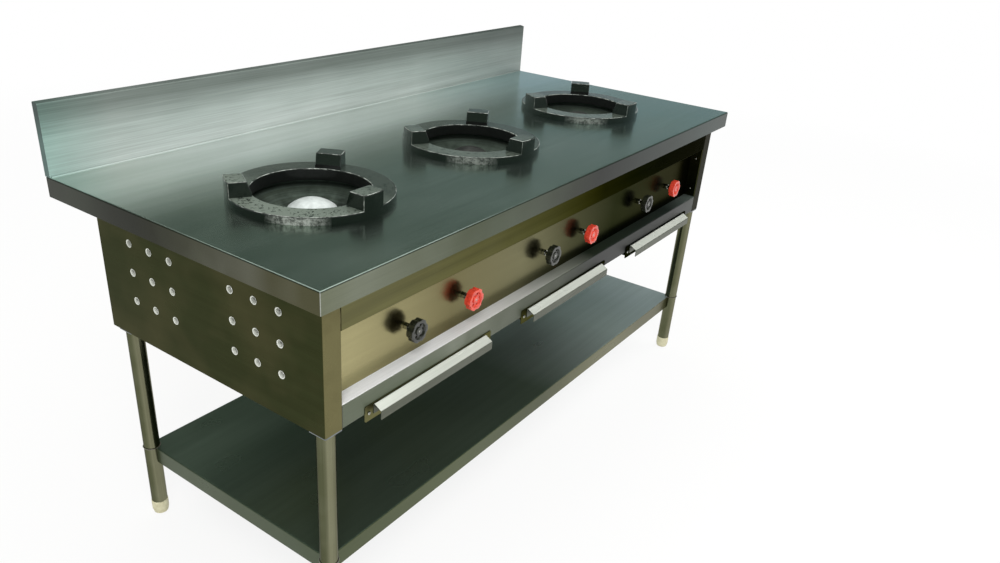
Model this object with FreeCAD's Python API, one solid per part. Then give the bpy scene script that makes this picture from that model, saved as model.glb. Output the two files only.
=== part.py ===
"""Three-burner wok range: a folded sheet-metal stand with cast rings, drip trays and an undershelf.

Millimetres. +X runs along the range to the right, +Y from the front to the splashback, +Z up.
The origin is on the floor below the middle of the bounding box.
"""
import FreeCAD, Part
import math
import os

V = FreeCAD.Vector
X_AXIS = V(1, 0, 0)
Y_AXIS = V(0, 1, 0)
Z_AXIS = V(0, 0, 1)

# ---- overall ----
LENGTH = 1800.0
DEPTH = 815.0
WORKTOP_Z = 850.0
TOP_SHEET = 2.0
BODY_SHEET = 1.5
FOLD_RADIUS = 1.5
SEAT_GAP = 0.3

# ---- worktop and splashback ----
SKIRT_DROP = 45.0
SKIRT_RETURN = 12.0
SPLASH_RISE = 155.0
SPLASH_THICKNESS = 18.0
SPLASH_TOP_RISE = 3.0
STIFFENER_WIDTH = 60.0
STIFFENER_DROP = 22.0
STIFFENER_FOOT = 14.0
STIFFENER_INSET = 70.0

# ---- body ----
BODY_INSET_SIDE = 31.0
BODY_INSET_FRONT = 30.0
BODY_INSET_REAR = 119.0
BODY_DROP = 324.0
BODY_FLANGE = 20.0
STILE_WIDTH = 47.0
STILE_RETURN = 60.0
TOP_RAIL_DROP = 115.0
LEDGE_RISE = 53.0
RECESS = 35.0
VENT_RADIUS = 7.2
VENT_PITCH = 66.0
VENT_ROWS = 3
VENT_DROP = 162.0
VENT_COLLAR_DEPTH = 6.5
VENT_COLLAR_WALL = 1.0
VENT_CLUSTER_SPACING = 315.0
FRAME_LEG = 30.0
FRAME_WALL = 3.0
CROSS_WIDTH = 40.0
HEEL_CLEARANCE = 0.6

# ---- burners and rings ----
BURNERS = 3
BURNER_PITCH = 565.0
BURNER_OFFSET = -18.0
BURNER_SETBACK = 346.0
RING_RADIUS = 178.0
RING_BORE = 127.0
RING_THICKNESS = 17.0
RING_SPIGOT = 9.0
SPIGOT_DROP = 10.0
SPIGOT_CLEARANCE = 2.0
LUG_HEIGHT = 49.0
LUG_WIDTH = 58.0
LUG_LEAN = 10.0
LUGS = 3
FIRST_LUG_ANGLE = 30.0
CAST_ROUND = 2.5
CHAMBER_FLANGE = 26.0
CHAMBER_NECK = 16.0
CHAMBER_DROP = 38.0
CHAMBER_MOUTH = 70.0
CHAMBER_COLLAR = 8.0
CHAMBER_CLEARANCE = 1.0
BURNER_RADIUS = 50.0
BURNER_WALL = 6.0
BURNER_RIM_DROP = 32.0
BURNER_HEIGHT = 43.0
BURNER_FOOT = 2.0
BURNER_FILLET = 4.0
BURNER_EDGE = 2.0
BELL_TAPER = 4.0
BURNER_NECK = 16.0
BURNER_THROAT = 10.0
BELL_RADIUS = 22.0
BELL_DROP = 38.0
PORTS = 16
PORT_WIDTH = 5.0
PORT_DEPTH = 8.0
CAP_OVERHANG = 2.0
CAP_RISE = 24.0
CAP_WALL = 4.0
HANGER_WIDTH = 50.0
HANGER_WALL = 3.0
HANGER_FOOT = 20.0
HANGER_CLEARANCE = 8.0
NECK_CLEARANCE = 0.5

# ---- gas train ----
VALVE_RISE = 69.0
VALVE_PITCH = 527.0
VALVE_OFFSET = 21.0
VALVE_SPACING = 194.0
MAIN_VALVE_RADIUS = 15.0
PILOT_VALVE_RADIUS = 11.0
VALVE_NUT_LENGTH = 11.0
VALVE_LENGTH = 48.0
OUTLET_SETBACK = 35.0
OUTLET_RISE = 24.0
MANIFOLD_SETBACK = 85.0
MANIFOLD_RADIUS = 13.5
MANIFOLD_WALL = 2.6
MANIFOLD_END_INSET = 110.0
BOSS_PROUD = 3.5
BOSS_SHARE = 0.8
INLET_BEND = 40.0
INLET_STANDOFF = 4.0
INLET_HEXAGON_RADIUS = 17.5
INLET_HEXAGON_LENGTH = 12.0
INLET_SPIGOT_RADIUS = 13.2
INLET_SPIGOT_LENGTH = 24.0
MAIN_PIPE_RADIUS = 8.0
PILOT_PIPE_RADIUS = 4.0
PIPE_WALL = 1.0
MAIN_RUN_RISE = 56.0
PILOT_RUN_RISE = 92.0
PIPE_BEND = 25.0
PILOT_ANGLE = -60.0
PILOT_STANDOFF = 10.0
PILOT_TIP_DROP = 10.0
SPINDLE_RADIUS = 4.5
SPINDLE_CLEARANCE = 0.08
SPINDLE_ENTRY = 26.0
PANEL_HOLE_CLEARANCE = 2.5

# ---- handwheels ----
WHEEL_RADIUS = 26.0
WHEEL_THICKNESS = 18.0
WHEEL_STANDOFF = 20.0
WHEEL_RIM = 8.0
WHEEL_WEB = 5.0
WHEEL_HUB = 8.5
WHEEL_ROUND = 3.0
WHEEL_LOBES = 6
SCALLOP_RADIUS = 9.0
SCALLOP_DEPTH = 2.6
SPOKE_HOLE_RADIUS = 3.0

# ---- drip trays ----
TRAY_PITCH = 552.0
TRAY_WIDTH = 380.0
TRAY_LENGTH = 570.0
TRAY_DROP = 17.0
TRAY_HEIGHT = 27.0
TRAY_LIP = 12.0
TRAY_FRONT_WIDTH = 422.0
TRAY_FRONT_HEIGHT = 36.0
RUNNER_LAP = 6.0
RUNNER_FLAT = 14.0
RUNNER_RISE = 30.0
RUNNER_GAP = 0.3
NOTCH_CLEARANCE = 3.0
HANDLE_WIDTH = 375.0
HANDLE_REACH = 20.0
HANDLE_SLOPE = 12.0
HANDLE_LIP = 19.0
HANDLE_FLANGE = 25.0

# ---- legs, feet and undershelf ----
LEG_RADIUS = 19.05
LEG_WALL = 1.5
LEG_INSET_SIDE = 55.0
LEG_INSET_FRONT = 53.0
LEG_INSET_REAR = 162.0
LEG_PLATE = 46.0
LEG_PLATE_THICKNESS = 3.0
FOOT_RADIUS = 20.0
FOOT_HEIGHT = 36.0
FOOT_ROUND = 6.0
FOOT_STEM_RADIUS = 6.0
FOOT_STEM_LENGTH = 55.0
STEM_CLEARANCE = 0.08
INSERT_LENGTH = 34.0
SHELF_Z = 200.0
SHELF_DROP = 42.0
SHELF_RETURN = 10.0
SHELF_INSET_SIDE = 54.0
SHELF_INSET_FRONT = 57.0
SHELF_INSET_REAR = 151.0
SHELF_CLIP_WALL = 3.0

# ---- places worked out from the sizes above ----
LEFT = -LENGTH / 2
RIGHT = LENGTH / 2
FRONT = -DEPTH / 2
REAR = DEPTH / 2
TOP_UNDERSIDE = WORKTOP_Z - TOP_SHEET
BODY_Z = WORKTOP_Z - BODY_DROP
TOP_RAIL_Z = WORKTOP_Z - TOP_RAIL_DROP
LEDGE_Z = BODY_Z + LEDGE_RISE
VENT_Z = WORKTOP_Z - VENT_DROP
BURNER_RIM_Z = WORKTOP_Z - BURNER_RIM_DROP
VALVE_Z = LEDGE_Z + VALVE_RISE
MAIN_RUN_Z = VALVE_Z + MAIN_RUN_RISE
PILOT_RUN_Z = VALVE_Z + PILOT_RUN_RISE
TRAY_Z = BODY_Z - TRAY_DROP
TRAY_FRONT_TOP = TRAY_Z + TRAY_FRONT_HEIGHT
BODY_LEFT = LEFT + BODY_INSET_SIDE
BODY_RIGHT = RIGHT - BODY_INSET_SIDE
BODY_FRONT = FRONT + BODY_INSET_FRONT
BODY_REAR = REAR - BODY_INSET_REAR
OPENING_LEFT = BODY_LEFT + STILE_WIDTH
OPENING_RIGHT = BODY_RIGHT - STILE_WIDTH
PANEL_Y = BODY_FRONT + RECESS
FRAME_FRONT_Y = BODY_FRONT + BODY_SHEET + HEEL_CLEARANCE
FRAME_TOP_Z = LEDGE_Z - BODY_SHEET - HEEL_CLEARANCE
BURNER_Y = FRONT + BURNER_SETBACK
SPIGOT_RADIUS = RING_BORE + RING_SPIGOT
OPENING_RADIUS = SPIGOT_RADIUS + SPIGOT_CLEARANCE
CHAMBER_RADIUS = OPENING_RADIUS + CHAMBER_CLEARANCE
CHAMBER_MOUTH_Z = TOP_UNDERSIDE - CHAMBER_NECK - CHAMBER_DROP
HANGER_HALF = CHAMBER_RADIUS + CHAMBER_FLANGE + HANGER_CLEARANCE
HANGER_TOP_Z = BURNER_RIM_Z - BURNER_HEIGHT
BELL_Z = HANGER_TOP_Z - BELL_DROP
VALVE_START_Y = PANEL_Y + BODY_SHEET
OUTLET_Y = PANEL_Y + OUTLET_SETBACK + BODY_SHEET
OUTLET_Z = VALVE_Z + OUTLET_RISE
MANIFOLD_Y = PANEL_Y + MANIFOLD_SETBACK
BOSS_END_Y = MANIFOLD_Y - MANIFOLD_RADIUS - BOSS_PROUD
TRAY_FRONT_Y = BODY_FRONT - RUNNER_GAP
LIP_Z = TRAY_Z + TRAY_HEIGHT
TUBE_BOTTOM_Z = FOOT_HEIGHT + SEAT_GAP
LEG_TOP_Z = BODY_Z - LEG_PLATE_THICKNESS
LEG_FRONT_Y = FRONT + LEG_INSET_FRONT
LEG_REAR_Y = REAR - LEG_INSET_REAR
LEG_LEFT_X = LEFT + LEG_INSET_SIDE
LEG_RIGHT_X = RIGHT - LEG_INSET_SIDE
SHELF_LEFT = LEFT + SHELF_INSET_SIDE
SHELF_RIGHT = RIGHT - SHELF_INSET_SIDE
SHELF_FRONT = FRONT + SHELF_INSET_FRONT
SHELF_REAR = REAR - SHELF_INSET_REAR


# ---- shared shape helpers ----
def block(x0, x1, y0, y1, z0, z1):
    """Box between two corners."""
    return Part.makeBox(x1 - x0, y1 - y0, z1 - z0, V(x0, y0, z0))


def row(count, pitch, offset=0.0):
    """Evenly spaced places, centred on the offset."""
    return [offset + pitch * (i - (count - 1) / 2) for i in range(count)]


def direction(a, b):
    """Unit vector from a to b in a plane."""
    length = math.hypot(b[0] - a[0], b[1] - a[1])
    return ((b[0] - a[0]) / length, (b[1] - a[1]) / length)


def rounded_face(corners, place):
    """Plane face from (a, b, radius) corners, each round one a tangent arc."""
    count = len(corners)
    starts = []
    arcs = []
    for i, (a, b, radius) in enumerate(corners):
        back = direction((a, b), corners[i - 1])
        ahead = direction((a, b), corners[(i + 1) % count])
        if radius <= 0:
            starts.append((place(a, b), place(a, b)))
            arcs.append(None)
            continue
        half = math.acos(max(-1.0, min(1.0, back[0] * ahead[0] + back[1] * ahead[1]))) / 2
        setback = radius / math.tan(half)
        middle = direction((0, 0), (back[0] + ahead[0], back[1] + ahead[1]))
        reach = radius / math.sin(half) - radius
        starts.append((place(a + back[0] * setback, b + back[1] * setback),
                       place(a + ahead[0] * setback, b + ahead[1] * setback)))
        arcs.append(place(a + middle[0] * reach, b + middle[1] * reach))
    edges = []
    for i in range(count):
        if arcs[i] is not None:
            edges.append(Part.Arc(starts[i][0], arcs[i], starts[i][1]).toShape())
        edges.append(Part.makeLine(starts[i][1], starts[(i + 1) % count][0]))
    return Part.Face(Part.Wire(edges))


def folded_section(path, wall, radius, place):
    """Section of a folded sheet: the path is one face, and the wall lies on its left."""
    left_side = []
    right_side = []
    last = len(path) - 1
    for i, point in enumerate(path):
        after = direction(path[i], path[i + 1]) if i < last else direction(path[i - 1], path[i])
        before = direction(path[i - 1], path[i]) if i > 0 else after
        turn = before[0] * after[1] - before[1] * after[0]
        share = wall / (1 + before[0] * after[0] + before[1] * after[1])
        moved = (point[0] - share * (before[1] + after[1]), point[1] + share * (before[0] + after[0]))
        inner = radius if abs(turn) > 1e-6 else 0.0
        outer = inner + wall if inner else 0.0
        right_side.append((point[0], point[1], outer if turn > 0 else inner))
        left_side.append((moved[0], moved[1], inner if turn > 0 else outer))
    return rounded_face(right_side + left_side[::-1], place)


def sheet_along_x(path, wall, x0, x1):
    """Sheet folded along X from a (y, z) path."""
    return folded_section(path, wall, FOLD_RADIUS, lambda a, b: V(x0, a, b)).extrude(V(x1 - x0, 0, 0))


def sheet_along_y(path, wall, y0, y1):
    """Sheet folded along Y from an (x, z) path."""
    return folded_section(path, wall, FOLD_RADIUS, lambda a, b: V(a, y0, b)).extrude(V(0, y1 - y0, 0))


def sheet_along_z(path, wall, z0, z1):
    """Sheet folded along Z from an (x, y) path."""
    return folded_section(path, wall, FOLD_RADIUS, lambda a, b: V(a, b, z0)).extrude(V(0, 0, z1 - z0))


def turned(corners, centre):
    """Solid of revolution about a vertical axis from (radius, z, round) corners."""
    face = rounded_face(corners, lambda a, b: V(a, 0, b))
    solid = face.revolve(V(0, 0, 0), Z_AXIS, 360)
    solid.translate(V(centre[0], centre[1], 0))
    return solid


def turned_along_y(corners, x, z):
    """Solid of revolution about an axis along Y from (radius, y, round) corners."""
    face = rounded_face(corners, lambda a, b: V(a, b, 0))
    solid = face.revolve(V(0, 0, 0), Y_AXIS, 360)
    solid.translate(V(x, 0, z))
    return solid


def rod(radius, start, axis, length):
    """Round rod from a point along an axis."""
    return Part.makeCylinder(radius, length, start, axis)


def mirrored(shape):
    """The same shape on the other side of the middle plane."""
    return shape.mirror(V(0, 0, 0), X_AXIS)


def pipe(points, radius, wall, bend):
    """Round tube along straight runs joined by tangent arcs."""
    edges = []
    start = points[0]
    for before, corner, after in zip(points, points[1:], points[2:]):
        back = (before - corner).normalize()
        ahead = (after - corner).normalize()
        half = back.getAngle(ahead) / 2
        setback = bend / math.tan(half)
        middle = (back + ahead).normalize()
        first = corner + back * setback
        third = corner + ahead * setback
        second = corner + middle * (bend / math.sin(half) - bend)
        edges.append(Part.makeLine(start, first))
        edges.append(Part.Arc(first, second, third).toShape())
        start = third
    edges.append(Part.makeLine(start, points[-1]))
    path = Part.Wire(edges)
    heading = points[1] - points[0]
    tubes = []
    for size in (radius, radius - wall):
        ring = Part.Wire(Part.Circle(points[0], heading, size).toShape())
        tubes.append(path.makePipeShell([ring], True, False))
    return tubes[0].cut(tubes[1])


def save(name, shape):
    """Write one node."""
    shape.exportStep(os.path.join("parts", name + ".step"))
    print(name, len(shape.Solids), round(shape.Volume), shape.isValid())


def save_group(name, shapes):
    """Write one node that holds several separate solids."""
    save(name, Part.makeCompound(shapes))


# ---- worktop and splashback ----
def worktop():
    """Pressed sheet top with a turned-down skirt, a hemmed edge and a hole for each burner."""
    bottom = WORKTOP_Z - SKIRT_DROP
    outer = block(LEFT, RIGHT, FRONT, REAR, bottom, WORKTOP_Z)
    sharp = [e for e in outer.Edges if e.BoundBox.ZMax > bottom + 1]
    outer = outer.makeFillet(FOLD_RADIUS + TOP_SHEET, sharp)
    inner = block(LEFT + TOP_SHEET, RIGHT - TOP_SHEET, FRONT + TOP_SHEET, REAR - TOP_SHEET,
                  bottom + TOP_SHEET, TOP_UNDERSIDE)
    sharp = [e for e in inner.Edges if e.BoundBox.ZMax > bottom + TOP_SHEET + 1]
    inner = inner.makeFillet(FOLD_RADIUS, sharp)
    hem = TOP_SHEET + SKIRT_RETURN
    mouth = block(LEFT + hem, RIGHT - hem, FRONT + hem, REAR - hem, bottom - 1, bottom + TOP_SHEET + 1)
    top = outer.cut(inner).cut(mouth)
    for x in row(BURNERS, BURNER_PITCH, BURNER_OFFSET):
        top = top.cut(rod(OPENING_RADIUS, V(x, BURNER_Y, TOP_UNDERSIDE - 1), Z_AXIS, TOP_SHEET + 2))
    return top


def backsplash():
    """Upstand along the rear edge, folded over at the top and closed at both ends."""
    front = REAR - SPLASH_THICKNESS
    top = WORKTOP_Z + SPLASH_RISE
    rim = FOLD_RADIUS + BODY_SHEET
    outer = [(front, WORKTOP_Z, 0), (front, top, rim), (REAR, top + SPLASH_TOP_RISE, rim), (REAR, WORKTOP_Z, 0)]
    shell = rounded_face(outer, lambda a, b: V(LEFT, a, b)).extrude(V(LENGTH, 0, 0))
    wall = BODY_SHEET
    inner = [(front + wall, WORKTOP_Z - 1, 0), (front + wall, top - wall, FOLD_RADIUS),
             (REAR - wall, top - wall + SPLASH_TOP_RISE, FOLD_RADIUS), (REAR - wall, WORKTOP_Z - 1, 0)]
    hollow = rounded_face(inner, lambda a, b: V(LEFT + wall, a, b)).extrude(V(LENGTH - 2 * wall, 0, 0))
    return shell.cut(hollow)


def hat_channel(x0, x1, y, z, width, drop, foot, wall):
    """Hat-section stiffener hung below a sheet whose underside is at z."""
    half = width / 2
    path = [(y - half, z), (y - half + foot, z), (y - half + foot, z - drop), (y + half - foot, z - drop),
            (y + half - foot, z), (y + half, z)]
    lowered = [(a, b - wall if b == z else b) for a, b in path]
    return sheet_along_x(lowered, wall, x0, x1)


def worktop_stiffeners():
    """Two channels under the worktop, in front of and behind the burner openings."""
    x0 = OPENING_LEFT + BODY_SHEET
    x1 = OPENING_RIGHT - BODY_SHEET
    reach = CHAMBER_RADIUS + CHAMBER_FLANGE + STIFFENER_WIDTH / 2 + HANGER_CLEARANCE
    return [hat_channel(x0, x1, BURNER_Y + side * reach, TOP_UNDERSIDE, STIFFENER_WIDTH, STIFFENER_DROP,
                        STIFFENER_FOOT, BODY_SHEET) for side in (-1, 1)]


# ---- body ----
def vent_places():
    """(y, z) of each hole in the two square clusters of a side panel."""
    middle = (BODY_FRONT + BODY_REAR) / 2
    return [(y, z) for cluster in row(2, VENT_CLUSTER_SPACING, middle)
            for y in row(VENT_ROWS, VENT_PITCH, cluster) for z in row(VENT_ROWS, VENT_PITCH, VENT_Z)]


def vent_collars():
    """Collars that are drawn inwards round the vent holes of the left side."""
    face = BODY_LEFT + BODY_SHEET / 2
    length = BODY_SHEET / 2 + VENT_COLLAR_DEPTH
    return [rod(VENT_RADIUS + VENT_COLLAR_WALL, V(face, y, z), X_AXIS, length) for y, z in vent_places()]


def vent_holes():
    """Drills through the left side and its collars."""
    length = BODY_SHEET + VENT_COLLAR_DEPTH + 2
    return [rod(VENT_RADIUS, V(BODY_LEFT - 1, y, z), X_AXIS, length) for y, z in vent_places()]


def side_panel():
    """Left side: one sheet folded into the side wall, the front stile and its return."""
    path = [(BODY_LEFT + BODY_FLANGE, BODY_REAR), (BODY_LEFT, BODY_REAR), (BODY_LEFT, BODY_FRONT),
            (OPENING_LEFT, BODY_FRONT), (OPENING_LEFT, BODY_FRONT + STILE_RETURN)]
    panel = sheet_along_z(path, BODY_SHEET, BODY_Z, TOP_UNDERSIDE)
    panel = panel.fuse(vent_collars()).cut(Part.makeCompound(vent_holes()))
    wall = BODY_LEFT + BODY_SHEET / 2
    y0 = BODY_FRONT + BODY_SHEET + FOLD_RADIUS
    y1 = BODY_REAR - BODY_SHEET - FOLD_RADIUS
    for z in (BODY_Z, TOP_UNDERSIDE - BODY_SHEET):
        panel = panel.fuse(block(wall, BODY_LEFT + BODY_FLANGE, y0, y1, z, z + BODY_SHEET))
    return panel.removeSplitter()


def back_panel():
    """Rear sheet between the side panels' flanges, with a hole for the gas inlet."""
    y1 = BODY_REAR - BODY_SHEET
    x0 = BODY_LEFT + BODY_SHEET + FOLD_RADIUS
    sheet = block(x0, -x0, y1 - BODY_SHEET, y1, BODY_Z, TOP_UNDERSIDE - BODY_SHEET)
    side = BODY_LEFT + BODY_SHEET
    for z in (BODY_Z, TOP_UNDERSIDE - BODY_SHEET):
        flange = block(side, BODY_LEFT + BODY_FLANGE + SEAT_GAP, y1 - BODY_FLANGE, y1 + 1, z - SEAT_GAP,
                       z + BODY_SHEET + SEAT_GAP)
        sheet = sheet.cut(flange).cut(mirrored(flange))
    hole = rod(MANIFOLD_RADIUS + PANEL_HOLE_CLEARANCE, V(inlet_x(), y1 - 2 * BODY_SHEET, VALVE_Z), Y_AXIS,
               3 * BODY_SHEET)
    return sheet.cut(hole)


def front_top_rail():
    """Channel across the front below the worktop, flush with the stiles."""
    back = BODY_FRONT + BODY_FLANGE
    path = [(back, TOP_UNDERSIDE), (BODY_FRONT, TOP_UNDERSIDE), (BODY_FRONT, TOP_RAIL_Z), (back, TOP_RAIL_Z)]
    return sheet_along_x(path, BODY_SHEET, OPENING_LEFT, OPENING_RIGHT)


def front_lower_rail():
    """Ledge that runs back under the control panel, and the lower face, open where each tray slides through."""
    notch_top = LIP_Z + BODY_SHEET + NOTCH_CLEARANCE
    half = TRAY_WIDTH / 2 + TRAY_LIP + NOTCH_CLEARANCE
    path = [(PANEL_Y + BODY_FLANGE, LEDGE_Z), (BODY_FRONT, LEDGE_Z), (BODY_FRONT, notch_top)]
    sheets = [sheet_along_x(path, BODY_SHEET, OPENING_LEFT, OPENING_RIGHT)]
    path = [(BODY_FRONT, notch_top), (BODY_FRONT, BODY_Z), (BODY_FRONT + BODY_FLANGE, BODY_Z)]
    x0 = OPENING_LEFT
    for x in row(BURNERS, TRAY_PITCH):
        sheets.append(sheet_along_x(path, BODY_SHEET, x0, x - half))
        x0 = x + half
    sheets.append(sheet_along_x(path, BODY_SHEET, x0, OPENING_RIGHT))
    return sheets


def control_panel():
    """Recessed sheet behind the front frame, with a hole for each valve spindle."""
    back = PANEL_Y + BODY_FLANGE
    path = [(OPENING_LEFT, back), (OPENING_LEFT, PANEL_Y), (OPENING_RIGHT, PANEL_Y), (OPENING_RIGHT, back)]
    panel = sheet_along_z(path, BODY_SHEET, LEDGE_Z, TOP_UNDERSIDE)
    for x, _ in valve_places():
        hole = rod(SPINDLE_RADIUS + PANEL_HOLE_CLEARANCE, V(x, PANEL_Y - 1, VALVE_Z), Y_AXIS, BODY_SHEET + 2)
        panel = panel.cut(hole)
    return panel


def angle_bar(path, wall, along, start, end):
    """Rolled angle or channel along X or Y, with a sharp heel."""
    if along == "x":
        return folded_section(path, wall, 0.0, lambda a, b: V(start, a, b)).extrude(V(end - start, 0, 0))
    return folded_section(path, wall, 0.0, lambda a, b: V(a, start, b)).extrude(V(0, end - start, 0))


def frame_rear_y():
    """Front face of the base frame's rear angle, where the tray runners end."""
    return BODY_REAR - 2 * BODY_SHEET - SEAT_GAP - FRAME_LEG


def base_frame():
    """Welded angle frame inside the bottom of the body, which carries the legs and tray runners."""
    low = BODY_Z + BODY_SHEET
    high = FRAME_TOP_Z
    rail_back = FRAME_FRONT_Y
    rear = BODY_REAR - 2 * BODY_SHEET - SEAT_GAP
    side = BODY_LEFT + BODY_SHEET + SEAT_GAP
    x0 = OPENING_LEFT + SEAT_GAP
    front_bar = angle_bar([(rail_back, high - FRAME_LEG), (rail_back, high), (rail_back + FRAME_LEG, high)],
                          -FRAME_WALL, "x", x0, -x0)
    rear_bar = angle_bar([(rear - FRAME_LEG, low), (rear, low), (rear, low + FRAME_LEG)],
                         FRAME_WALL, "x", side, -side)
    frame = front_bar.fuse(rear_bar)
    end_bar = angle_bar([(side + FRAME_LEG, low), (side, low), (side, low + FRAME_LEG)],
                        -FRAME_WALL, "y", BODY_FRONT + BODY_SHEET + FOLD_RADIUS, rear)
    frame = frame.fuse(end_bar).fuse(mirrored(end_bar))
    half = CROSS_WIDTH / 2
    for x in row(BURNERS - 1, TRAY_PITCH):
        path = [(x - half, low + FRAME_WALL), (x - half, high), (x + half, high), (x + half, low + FRAME_WALL)]
        frame = frame.fuse(angle_bar(path, -FRAME_WALL, "y", rail_back + FRAME_WALL, rear))
    return frame.removeSplitter()


# ---- burners ----
def burner_places():
    """Centre of each burner on the worktop."""
    return [(x, BURNER_Y) for x in row(BURNERS, BURNER_PITCH, BURNER_OFFSET)]


def burner_chamber(centre):
    """Pressed bowl below one opening: flange, upright neck, cone and a short collar at its mouth."""
    wall = BODY_SHEET
    z_flange = TOP_UNDERSIDE - wall
    z_cone = TOP_UNDERSIDE - CHAMBER_NECK
    path = [(CHAMBER_RADIUS + CHAMBER_FLANGE, z_flange), (CHAMBER_RADIUS, z_flange),
            (CHAMBER_RADIUS, z_cone), (CHAMBER_MOUTH, CHAMBER_MOUTH_Z),
            (CHAMBER_MOUTH, CHAMBER_MOUTH_Z - CHAMBER_COLLAR)]
    section = folded_section(path, -wall, FOLD_RADIUS, lambda a, b: V(a, 0, b))
    bowl = section.revolve(V(0, 0, 0), Z_AXIS, 360)
    bowl.translate(V(centre[0], centre[1], 0))
    return bowl


def burner_body(centre):
    """Cast cup with flame ports round its rim, on a hollow neck that ends in an air bell."""
    shoulder = HANGER_TOP_Z + BURNER_WALL
    floor = shoulder + BURNER_WALL
    inside = BURNER_RADIUS - BURNER_WALL
    flare = (BURNER_RADIUS - BELL_RADIUS) / 2
    foot = BELL_RADIUS + BURNER_FOOT
    bell_top = BELL_Z + BELL_RADIUS
    corners = [(BURNER_THROAT, BELL_Z, 0), (BELL_RADIUS, BELL_Z, BURNER_EDGE), (BELL_RADIUS, bell_top, BURNER_EDGE),
               (BURNER_NECK, bell_top + BELL_TAPER, BURNER_EDGE), (BURNER_NECK, HANGER_TOP_Z, 0),
               (foot, HANGER_TOP_Z, 0), (foot, shoulder, BURNER_EDGE),
               (BURNER_RADIUS, shoulder + flare, BURNER_FILLET), (BURNER_RADIUS, BURNER_RIM_Z, 0),
               (inside, BURNER_RIM_Z, 0), (inside, floor + flare, BURNER_FILLET),
               (BURNER_THROAT + BURNER_FILLET, floor, 0), (BURNER_THROAT, floor - BURNER_FILLET, 0)]
    body = turned(corners, centre)
    for i in range(PORTS):
        slot = block(inside - 2, BURNER_RADIUS + 2, -PORT_WIDTH / 2, PORT_WIDTH / 2,
                     BURNER_RIM_Z - PORT_DEPTH, BURNER_RIM_Z + 1)
        slot.rotate(V(0, 0, 0), Z_AXIS, (i + 0.5) * 360 / PORTS)
        slot.translate(V(centre[0], centre[1], 0))
        body = body.cut(slot)
    return body


def burner_cap(centre):
    """Domed cap that closes the burner cup, with a spigot that centres it."""
    radius = BURNER_RADIUS + CAP_OVERHANG
    seat = BURNER_RIM_Z
    inside = BURNER_RADIUS - BURNER_WALL - NECK_CLEARANCE
    rim = seat + CAP_WALL
    dome = dome_arc(radius, rim, CAP_RISE - CAP_WALL)
    under = dome_arc(inside - CAP_WALL, seat, CAP_RISE - CAP_WALL)
    top = seat + CAP_RISE
    hollow = seat + CAP_RISE - CAP_WALL
    points = [V(0, 0, top), V(radius, 0, rim), V(radius, 0, seat), V(inside, 0, seat),
              V(inside, 0, seat - CAP_WALL), V(inside - CAP_WALL, 0, seat - CAP_WALL),
              V(inside - CAP_WALL, 0, seat), V(0, 0, hollow)]
    edges = [Part.Arc(points[0], dome, points[1]).toShape()]
    edges += [Part.makeLine(a, b) for a, b in zip(points[1:6], points[2:7])]
    edges.append(Part.Arc(points[6], under, points[7]).toShape())
    edges.append(Part.makeLine(points[7], points[0]))
    cap = Part.Face(Part.Wire(edges)).revolve(V(0, 0, 0), Z_AXIS, 360)
    cap.translate(V(centre[0], centre[1], 0))
    return cap


def dome_arc(radius, z, rise):
    """Middle point of the arc from the axis, rise above z, down to the radius at z."""
    sphere = (radius ** 2 + rise ** 2) / (2 * rise)
    angle = math.atan2(radius, sphere - rise) / 2
    return V(sphere * math.sin(angle), 0, z + rise - sphere * (1 - math.cos(angle)))


def burner_hanger(centre):
    """Flat-bar cradle from the worktop's underside, with a hole that the burner neck stands in."""
    x, y = centre
    top = TOP_UNDERSIDE - HANGER_WALL
    low = HANGER_TOP_Z - HANGER_WALL
    path = [(x - HANGER_HALF - HANGER_FOOT, top), (x - HANGER_HALF, top), (x - HANGER_HALF, low),
            (x + HANGER_HALF, low), (x + HANGER_HALF, top), (x + HANGER_HALF + HANGER_FOOT, top)]
    strap = sheet_along_y(path, HANGER_WALL, y - HANGER_WIDTH / 2, y + HANGER_WIDTH / 2)
    hole = rod(BURNER_NECK + NECK_CLEARANCE, V(x, y, low - 1), Z_AXIS, HANGER_WALL + 2)
    return strap.cut(hole)


def wok_ring(centre):
    """Cast ring that rests on the worktop, with a spigot in the opening and raised wok lugs."""
    top = WORKTOP_Z + RING_THICKNESS
    r = CAST_ROUND
    corners = [(RING_BORE, WORKTOP_Z - SPIGOT_DROP, 1), (SPIGOT_RADIUS, WORKTOP_Z - SPIGOT_DROP, 1),
               (SPIGOT_RADIUS, WORKTOP_Z, 0), (RING_RADIUS, WORKTOP_Z, 0), (RING_RADIUS, top, r),
               (RING_BORE, top, r)]
    ring = turned(corners, (0, 0))
    lug = wok_lug()
    for i in range(LUGS):
        turned_lug = lug.copy()
        turned_lug.rotate(V(0, 0, 0), Z_AXIS, FIRST_LUG_ANGLE + i * 360 / LUGS)
        ring = ring.fuse(turned_lug)
    ring = ring.removeSplitter()
    ring.translate(V(centre[0], centre[1], 0))
    return ring


def wok_lug():
    """One lug on the +X side: curved outside, leaning inner face where the wok sits."""
    base = WORKTOP_Z + RING_THICKNESS / 2
    top = WORKTOP_Z + LUG_HEIGHT
    corners = [(RING_BORE + CAST_ROUND / 2, base), (RING_RADIUS + CAST_ROUND, base),
               (RING_RADIUS + CAST_ROUND, top), (RING_BORE + LUG_LEAN, top),
               (RING_BORE + CAST_ROUND / 2, base + RING_THICKNESS)]
    section = Part.Face(Part.makePolygon([V(a, -LUG_WIDTH / 2, b) for a, b in corners + corners[:1]]))
    lug = section.extrude(V(0, LUG_WIDTH, 0))
    lug = lug.common(Part.makeCylinder(RING_RADIUS, LUG_HEIGHT + 1, V(0, 0, base)))
    edges = [e for e in lug.Edges if e.BoundBox.ZMax > top - 1]
    return lug.makeFillet(CAST_ROUND, edges)


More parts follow.
